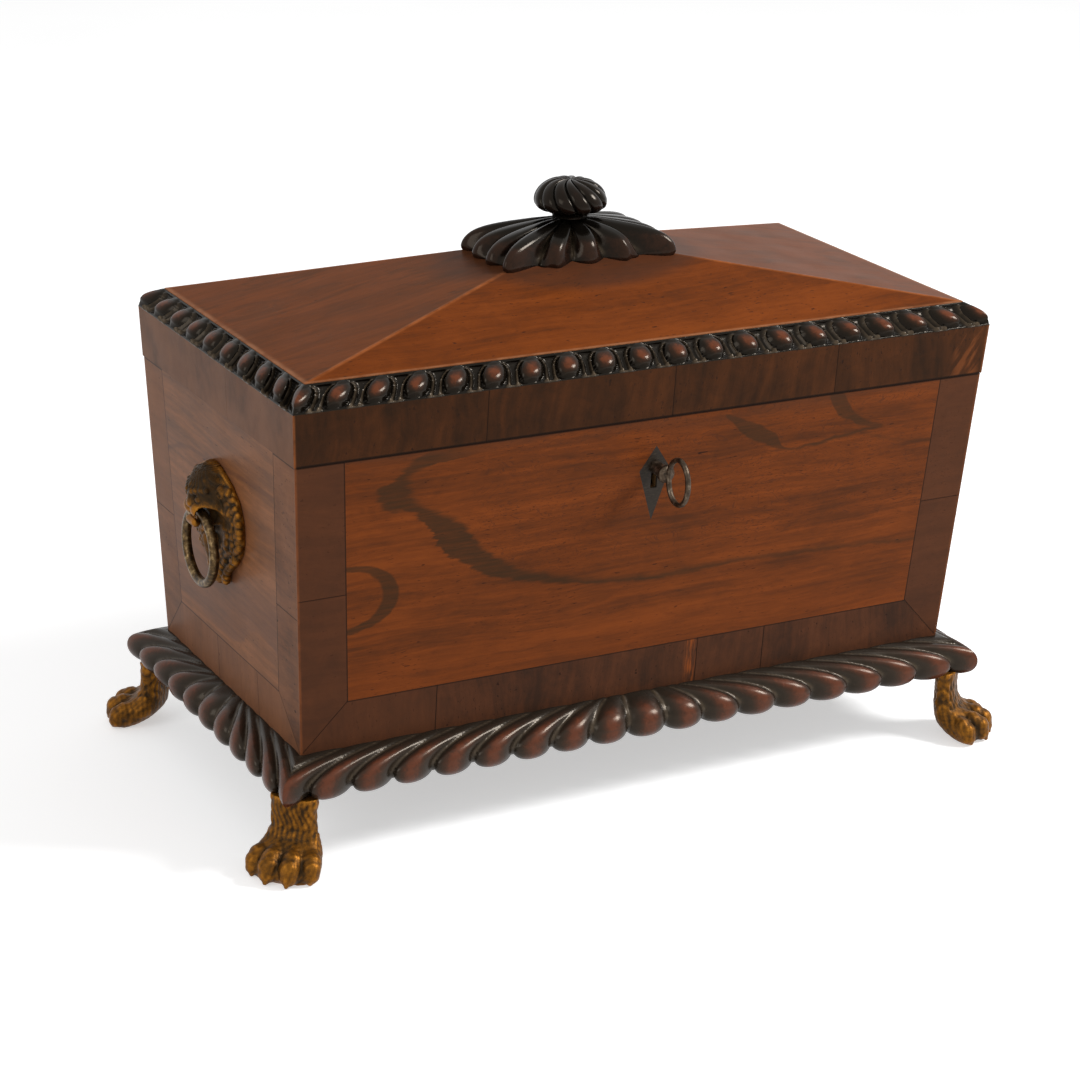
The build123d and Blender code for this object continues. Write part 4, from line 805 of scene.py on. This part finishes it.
def rosette():
    """Domed patera with square corners: fourteen fat lobes that droop onto the four slopes."""
    # one quarter: direction in degrees and reach, valleys and crests by turns
    marks = [(0, 40.0), (9, 42.4), (17.5, 40.3), (26, 45.2), (37, 30.6), (49, 27.3), (67, 19.2), (90, 20.5)]
    directions, reaches = zip(*marks)
    lobes, per_lobe, cols = 14, 28, 54
    turn = around(lobes * per_lobe)[:, None]
    quarter = 90 - np.abs(90 - np.degrees(turn) % 180)
    off = off_crest(np.interp(quarter, directions, 0.5 + 0.5 * np.arange(len(marks))))
    high, _ = resample([
        (0.17, 9.6), (0.3, 10.0), (0.5, 10.0), (0.66, 9.8), (0.8, 9.1), (0.9, 7.8), (0.97, 5.4), (1.0, 2.6),
        (0.995, 0.9), (0.97, -0.6),
    ], cols)
    low, _ = resample([
        (0.17, 9.0), (0.26, 7.2), (0.4, 5.4), (0.6, 3.7), (0.78, 2.3), (0.9, 1.4), (0.96, 0.6), (0.96, -0.6),
    ], cols)
    body, rib = lobe(off, 0.485, 2.9, 0.5), rib_line(off)
    share, lift = np.moveaxis(low * (1 - body[..., None]) + high * body[..., None], 2, 0)
    t = np.linspace(0, 1, cols)
    fillet = rib * hump(t, 0.12, 0.15, 0.72, 0.2)
    radius = share * eased(quarter, directions, reaches)
    # 0 at the peak of the roof and 1 at its edge
    slope = np.maximum(np.abs(radius * np.cos(turn)) / ROOF_W, np.abs(radius * np.sin(turn)) / ROOF_D)
    # the knob stands on this height
    seat = 233.4
    z = np.minimum(ROOF_APEX - (ROOF_APEX - ROOF_EDGE) * slope + lift + 1.2 * fillet, seat)
    # the crest share fades out towards the knob: painted shade under it
    finial("rosette", "finial_rosette", turn, radius, z, body * smooth(t / 0.28), fillet)


rosette()


def knob():
    """Bun of swirling gadroons, flat beneath, on a short dark neck."""
    flutes, per_flute = 12, 26
    turn = around(flutes * per_flute)[:, None]
    line, far = resample([
        (7.4, 232.6), (7.6, 234.2), (9.4, 235.1), (12.4, 235.5), (14.9, 237.0), (15.5, 239.4), (14.9, 242.2),
        (12.6, 245.4), (8.8, 247.7), (4.6, 248.5), (1.6, 248.4), (0.02, 248.2),
    ], 64)
    t = far / far[-1]
    body = lobe(off_crest(turn / (2 * np.pi) * flutes + 1.5 * smooth(t - 0.12)), 0.5, 2.8, 0.5)
    on_ball = hump(t, 0.1, 0.14, 0.9, 0.1)
    dent = 1.8 * (1 - body) * on_ball
    radius, z = np.moveaxis(line - dent[..., None] * normals(line), 2, 0)
    radius = np.maximum(radius, 0.02)
    # the crest share is low on the neck and under the bun: painted shade there
    finial("spiral_knob", "finial_knob", turn, radius, z, 0.7 * body * on_ball, 0 * z)


knob()


# Cast pieces, modelled as fields and skinned

def net(field, low, step):
    """Vertices and quads where a sampled field crosses zero, and how proud each vertex stands."""
    inside = field < 0
    shape = field.shape
    corners = list(np.ndindex(2, 2, 2))
    cuts = [tuple(slice(c, c + n - 1) for c, n in zip(corner, shape)) for corner in corners]
    total = sum(inside[cut].astype(int) for cut in cuts)
    cells = (total > 0) & (total < 8)
    number = np.full(cells.shape, -1)
    number[cells] = np.arange(cells.sum())
    at = np.argwhere(cells)
    values = {corner: field[tuple((at + corner).T)] for corner in corners}
    # each vertex is the mean of the places where the edges of its cell cross the surface
    spot, count = np.zeros((len(at), 3)), np.zeros((len(at), 1))
    for axis, unit in enumerate(np.eye(3, dtype=int)):
        for corner in corners:
            if corner[axis] == 0:
                a, b = values[corner], values[tuple((unit + corner).tolist())]
                hit = (a < 0) != (b < 0)
                share = a[hit] / (a[hit] - b[hit])
                spot[hit] += corner + share[:, None] * unit
                count[hit] += 1
    verts = (at + spot / count) * step + low
    quads = []
    for axis in range(3):
        one, two = [q for q in range(3) if q != axis]
        a = np.take(inside, range(shape[axis] - 1), axis)
        b = np.take(inside, range(1, shape[axis]), axis)
        for edge in np.argwhere(a != b).tolist():
            if min(edge[one], edge[two]) < 1 or edge[one] > shape[one] - 2 or edge[two] > shape[two] - 2:
                continue
            ring = []
            for q, r in ((-1, -1), (0, -1), (0, 0), (-1, 0)):
                cell = list(edge)
                cell[one] += q
                cell[two] += r
                ring.append(int(number[tuple(cell)]))
            quads.append(ring[::-1] if a[tuple(edge)] == (axis == 1) else ring)
    soft = field
    for _ in range(10):
        soft = sum(np.roll(soft, way, axis) for axis in range(3) for way in (1, -1)) / 6
    proud = (soft - field)[tuple(at.T)] / step
    return verts, quads, np.clip(0.5 + proud * 0.6, 0, 1)


class Clay:
    """Field of rounded shapes on a grid, joined softly."""

    def __init__(self, low, high, step):
        self.low, self.step = low, step
        axes = [np.arange(a, b + step, step) for a, b in zip(low, high)]
        self.p = np.stack(np.meshgrid(*axes, indexing="ij"), -1)
        self.f = np.full(self.p.shape[:3], 50.0)

    def rod(self, a, b, ra, rb, soft):
        """Rounded rod from a to b whose radius runs from ra to rb."""
        d = np.subtract(b, a)
        t = np.clip(((self.p - a) @ d) / (d @ d), 0, 1)
        far = np.linalg.norm(self.p - a - t[..., None] * d, axis=-1) - (ra + (rb - ra) * t)
        self.f = blend_in(self.f, far, soft)

    def oval(self, mid, radii, soft, cut=False):
        """Egg of the given radii, added or cut away."""
        far = (np.linalg.norm((self.p - mid) / radii, axis=-1) - 1) * min(radii)
        self.f = -blend_in(-self.f, far, soft) if cut else blend_in(self.f, far, soft)

    def skin(self):
        return net(self.f, self.low, self.step)


def paw():
    """Paw with a straight shank, a lifted heel and four knuckled toes."""
    clay = Clay((-7, -18.6, -1.2), (24, 18.6, 32.4), 0.42)
    x, y, z = np.moveaxis(clay.p, 3, 0)
    levels = [0, 1.5, 4, 7, 9.5, 12, 14.5, 18, 23, 31.5]
    back = np.interp(z, levels, [7.5, 4.2, 0.6, -2.3, -3.6, -4.1, -4.4, -4.5, -4.5, -4.7])
    front = np.interp(z, levels, [16.5, 17.2, 17.0, 15.8, 14.0, 10.6, 7.2, 5.2, 4.6, 4.7])
    wide = np.interp(z, levels, [11.0, 12.2, 13.2, 13.6, 13.2, 12.0, 10.6, 9.7, 9.4, 9.8])
    deep = np.abs(x - (front + back) / 2) / ((front - back) / 2)
    clay.f = ((deep ** 2.3 + (np.abs(y) / wide) ** 2.6) ** (1 / 2.4) - 1) * 6.0
    for side in (-1, 1):
        clay.rod((8.5, side * 3.6, 10.2), (13.4, side * 4.2, 8.7), 3.0, 4.1, 1.5)
        clay.rod((13.4, side * 4.2, 8.7), (16.9, side * 4.4, 7.0), 4.1, 4.1, 0.8)
        clay.rod((16.9, side * 4.4, 7.0), (17.8, side * 4.4, 4.2), 4.1, 3.7, 0.8)
        clay.rod((19.9, side * 4.4, 3.0), (20.4, side * 4.4, 1.3), 1.3, 0.9, 0.9)
        clay.rod((6.0, side * 9.2, 9.4), (10.0, side * 11.0, 8.0), 3.0, 3.9, 1.5)
        clay.rod((10.0, side * 11.0, 8.0), (12.4, side * 11.7, 6.4), 3.9, 3.8, 0.8)
        clay.rod((12.4, side * 11.7, 6.4), (13.2, side * 11.9, 4.1), 3.8, 3.5, 0.8)
        clay.rod((14.6, side * 12.2, 3.0), (15.0, side * 12.3, 1.3), 1.3, 0.9, 0.9)
    # web that fills the gaps between the toes
    clay.rod((15.2, -4.0, 4.6), (15.2, 4.0, 4.6), 4.3, 4.3, 0.8)
    for side in (-1, 1):
        clay.rod((15.0, side * 4.0, 4.6), (11.6, side * 10.5, 4.4), 4.3, 3.8, 0.8)
    # coat of short hairs on the shank
    hair = np.sin(y * 2.1 + 1.6 * np.sin(z * 0.55)) * np.sin(z * 0.75 + y * 0.9)
    clay.f += 0.24 * hair * np.clip((z - 12) / 4, 0, 1)
    clay.f += 0.10 * np.sin(x * 2.3 + 0.7 * z) * np.sin(y * 1.9 - 0.8 * z)
    # flat sole and top
    clay.f = np.maximum.reduce([clay.f, 0.02 - z, z - FOOT_TOP])
    return clay.skin()


paw_verts, paw_faces, paw_relief = paw()
ahead, aside, upward = paw_verts.T
for end, sy in (("front", -1), ("back", 1)):
    for hand, sx in (("left", -1), ("right", 1)):
        angle = math.atan2(sy, sx)
        x = ahead * math.cos(angle) - aside * math.sin(angle) + sx * (HALF_W + FOOT_OUT)
        y = ahead * math.sin(angle) + aside * math.cos(angle) + sy * (HALF_D + FOOT_OUT) + SHIFT
        build(f"paw_{end}_{hand}", np.stack([x, y, upward], 1), paw_faces, GILT, "gilt_brass", "chest",
              [f"paw_foot_{end}_{hand}"], 80.0, relief=np.clip(paw_relief + 0.15, 0, 1))


def mask():
    """Lion's head: high brow, curls down to a pointed beard, and jaws round the ring."""
    clay = Clay((-29, -28, -1.4), (29, 28, 16.4), 0.46)
    x, y, z = np.moveaxis(clay.p, 3, 0)
    heights = [-26.0, -23.5, -18.3, -13.3, -6.7, -0.9, 8.7, 16.4, 20.8, 23.5, 25.8]
    widths = [2.0, 6.0, 9.5, 16.5, 23.0, 25.5, 26.0, 22.5, 16.5, 10.5, 5.0]
    edge = np.maximum(np.abs(x) - np.interp(y, heights, widths), np.abs(y) - 25.8)
    clay.f = np.maximum(edge * 0.8, z - (1.8 + 2.6 * np.clip(-edge / 9, 0, 1)))
    # rings of curls, each a short rod turned at random
    rng = np.random.default_rng(11)
    for share, radius in ((0.93, 1.9), (0.77, 2.0), (0.6, 2.1)):
        for k in range(-9, 8):
            half = np.interp(2.9 * k, heights, widths) * share
            for side in (-1, 1):
                across = side * (half + rng.uniform(-0.5, 0.5))
                up = 2.9 * k * share + rng.uniform(-0.7, 0.7)
                proud = 1.9 + 3.4 * (1 - share) + rng.uniform(-0.3, 0.3)
                turn = rng.uniform(0, math.pi)
                spot = np.array((across, up, proud))
                curl = np.array((1.1 * math.cos(turn), 1.1 * math.sin(turn), 0))
                clay.rod(spot - curl, spot + curl, radius, radius * 0.8, 0.35)
    # skull, brows, eyes, ears and cheeks
    clay.oval((0, 13.0, 2.0), (12.6, 13.6, 11.0), 0.8)
    for side in (-1, 1):
        clay.rod((side * 2.0, 16.6, 12.2), (side * 8.6, 17.8, 9.0), 1.6, 1.3, 0.6)
        clay.oval((side * 5.2, 13.8, 13.2), (2.9, 1.9, 2.6), 0.3, cut=True)
        clay.oval((side * 5.2, 13.7, 11.0), (2.0, 1.4, 1.7), 0.1)
        clay.oval((side * 12.6, 17.6, 3.6), (3.0, 3.0, 2.8), 0.5)
        clay.oval((side * 12.8, 17.4, 6.0), (1.5, 1.6, 1.6), 0.3, cut=True)
        clay.rod((side * 9.5, 12.0, 5.4), (side * 8.4, 5.0, 5.0), 3.2, 2.2, 0.8)
        clay.oval((side * 3.4, 8.8, 10.8), (3.9, 3.4, 3.3), 0.5)
    # nose, lower lip and chin
    clay.rod((0, 18.0, 10.8), (0, 11.6, 11.8), 2.2, 2.4, 0.7)
    clay.oval((0, 10.9, 13.0), (2.7, 1.6, 1.4), 0.3)
    clay.rod((-2.6, 3.2, 12.0), (2.6, 3.2, 12.0), 1.9, 1.9, 0.9)
    clay.rod((-3.0, 1.2, 7.0), (3.0, 1.2, 7.0), 2.8, 2.8, 0.9)
    # combed hair over the skull
    part = np.arctan2(x, 27.0 - y)
    clay.f += 0.22 * np.sin(part * 30 + 0.25 * y) * np.clip((y - 14) / 4, 0, 1)
    # beard of one thick lock with two thinner ones on each side
    clay.rod((0, -6.0, 4.2), (0.4, -22.5, 2.2), 4.2, 2.6, 0.8)
    for side in (-1, 1):
        clay.rod((side * 3.0, -5.0, 5.0), (side * 1.2, -22.0, 3.0), 1.7, 1.2, 0.3)
        clay.rod((side * 6.0, -4.0, 4.4), (side * 5.6, -18.0, 2.2), 2.4, 1.5, 0.4)
    # mouth, room for the ring to hang and swing, and a flat back
    mouth = 3.05 + 1.9 * np.clip((np.abs(x) - 3.0) / 3.0, 0, 1) - np.hypot(y - 6.0, z - 9.0)
    room = 2.7 - np.hypot(np.hypot(x, y + 9.0) - 15.0, z - 9.0)
    clay.f = np.maximum.reduce([clay.f, mouth, room, 0.05 - z])
    return clay.skin()


mask_verts, mask_faces, mask_relief_and_highlights = mask()
mask_u, mask_up, mask_proud = mask_verts.T
# painted highlights: brighter on the snout and the beard, duller on the top of the head
snout = np.exp(-(mask_u / 8.5) ** 2 - ((mask_up - 7.0) / 4.5) ** 2) * smooth((mask_proud - 5) / 4)
beard = smooth((-10 - mask_up) / 8) * np.exp(-(mask_u / 8) ** 2)
crown = smooth((mask_up - 11) / 4) * smooth((mask_proud - 3) / 3)
mask_relief_and_highlights = np.clip(mask_relief_and_highlights * (0.95 - 0.4 * crown) + 0.3 * snout + 0.2 * beard, 0, 1)
for side, replaced in (("left", ["lion_mask_left", "mask_pins"]), ("right", ["lion_mask_right"])):
    build(f"lion_{side}", on_side(side, MASK_Z, *mask_verts.T), mask_faces, GILT, "gilt_brass", "chest",
          replaced, 80.0, relief=mask_relief_and_highlights)


def key():
    """Key with a round-wire oval bow, a ball collar, a pipe shank and a stepped bit."""
    # own axes: across, up the face, out along the shank
    line, _ = resample([
        (0.05, -3.0), (1.3, -3.0), (1.3, -9.4), (2.7, -9.4), (2.75, 6.0), (2.8, 7.2), (3.5, 7.5), (3.9, 8.6),
        (3.5, 9.7), (2.7, 10.1), (2.5, 11.0), (0.05, 11.6),
    ], 60, 1)
    turn = around(32)
    radius, out = line[:, :1], line[:, 1:] + 0 * turn
    shank = np.stack([radius * np.cos(turn), radius * np.sin(turn), out], 2)
    wire = 1.05
    wide, tall = 8.5 - wire, 10.4 - wire
    sweep, spin = around(72), around(14)[:, None]
    mid = np.stack([0 * sweep, tall * np.sin(sweep), 18.5 + wide * np.cos(sweep)], 1)
    way = np.stack([0 * sweep, np.sin(sweep) / tall, np.cos(sweep) / wide], 1)
    way /= np.linalg.norm(way, axis=1)[:, None]
    bow = mid[:, None] + wire * (np.cos(spin) * way[:, None] + 1.15 * np.sin(spin) * np.array([1.0, 0, 0]))
    outline = [
        (-1.2, -4.7), (-8.5, -4.7), (-8.6, -5.4), (-8.6, -6.4), (-6.6, -6.5), (-6.6, -7.1), (-8.6, -7.2),
        (-8.5, -8.7), (-1.2, -8.8),
    ]
    layers = [(-1.0, 0.94), (-0.85, 1.0), (0.85, 1.0), (1.0, 0.94)]
    bit = [[(across, -1.2 + (up + 1.2) * share, v) for up, v in outline] for across, share in layers]
    verts, faces = [], []
    for points, closed in ((shank, False), (bow, True), (np.array(bit), False)):
        faces += [[len(verts) + i for i in face] for face in tube(*points.shape[:2], closed)]
        verts += points.reshape(-1, 3).tolist()
    placed = on_side("front", KEY_Z, *np.transpose(verts))
    build("wire_key", placed, faces, KEY_STEEL, "steel", "key", ["key"], 40.0)


key()


# Floor, light and camera

def floor():
    """Wide white sheet that shines a little where the studio is seen."""
    half = 12.0
    corners = [(-half, -half, 0), (half, -half, 0), (half, half, 0), (-half, half, 0)]
    mesh = bpy.data.meshes.new("floor")
    mesh.from_pydata(corners, [], [(0, 1, 2, 3)])
    s = Shade("floor_paper")
    paper, glow, both = (s.add(f"ShaderNode{kind}") for kind in ("BsdfDiffuse", "Emission", "AddShader"))
    greys = [(0.3, (0.80, 0.80, 0.80, 1)), (0.7, (0.83, 0.83, 0.83, 1))]
    s.put(paper.inputs["Color"], s.ramp(s.even_noise(0.004), greys))
    s.put(glow.inputs["Strength"], s.studio_rays() * 0.5)
    s.put(both.inputs[0], paper.outputs[0])
    s.put(both.inputs[1], glow.outputs[0])
    s.put(s.out.inputs["Surface"], both.outputs[0])
    mesh.materials.append(s.mat)
    obj = add_object("floor", mesh)


floor()

world = bpy.data.worlds.new("studio")
bpy.context.scene.world = world
world.use_nodes = True
air = Tree(world.node_tree)
sky = air.add("ShaderNodeBackground")
# white where it is seen, and half as bright where it only lights the chest
air.put(sky.inputs["Color"], (1, 1, 1, 1))
air.put(sky.inputs["Strength"], air.studio_rays() * 0.5 + 0.5)
air.put(air.add("ShaderNodeOutputWorld").inputs["Surface"], sky.outputs[0])


def lamp(name, at, size, power):
    """Square lamp, in metres and watts, that shines on the chest."""
    light = bpy.data.lights.new(name, "AREA")
    light.shape = "RECTANGLE"
    light.size = light.size_y = size
    light.energy = power
    obj = add_object(name, light)
    obj.location = at
    obj.rotation_euler = (Vector((0, 0, 0.12)) - Vector(at)).to_track_quat("-Z", "Y").to_euler()


lamp("key", (1.03, -0.62, 1.06), 0.42, 21)
lamp("side", (-1.3, -0.5, 0.8), 0.7, 5)

# The camera fitted to the photo: a point it looks past, its distance, shift and angles
TARGET, DISTANCE, RIGHTWARD, UPWARD = (0, SHIFT, 110.0), 1219.237, 8.59, 20.217
AZIMUTH, ELEVATION, ROLL = (math.radians(angle) for angle in (28.897, 20.494, 1.894))
FOCAL, PHOTO_WIDTH = 2827.8, 1080
level = math.cos(ELEVATION)
forward = Vector((math.sin(AZIMUTH) * level, math.cos(AZIMUTH) * level, -math.sin(ELEVATION)))
flat_x = Vector((math.cos(AZIMUTH), -math.sin(AZIMUTH), 0))
flat_y = flat_x.cross(forward)
cam_x = math.cos(ROLL) * flat_x + math.sin(ROLL) * flat_y
cam_y = -math.sin(ROLL) * flat_x + math.cos(ROLL) * flat_y
eye = Vector(TARGET) - DISTANCE * forward - RIGHTWARD * cam_x - UPWARD * cam_y
camera = bpy.data.cameras.new("camera")
camera.sensor_fit = "HORIZONTAL"
camera.sensor_width = 36.0
camera.lens = FOCAL / PHOTO_WIDTH * 36.0
camera.clip_start, camera.clip_end = 0.05, 30
cam = add_object("camera", camera)
rows = [(a, b, -c, d / MM) for a, b, c, d in zip(cam_x, cam_y, forward, eye)]
cam.matrix_world = Matrix((*rows, (0, 0, 0, 1)))
bpy.context.scene.camera = cam
bpy.context.scene.view_settings.view_transform = "Standard"
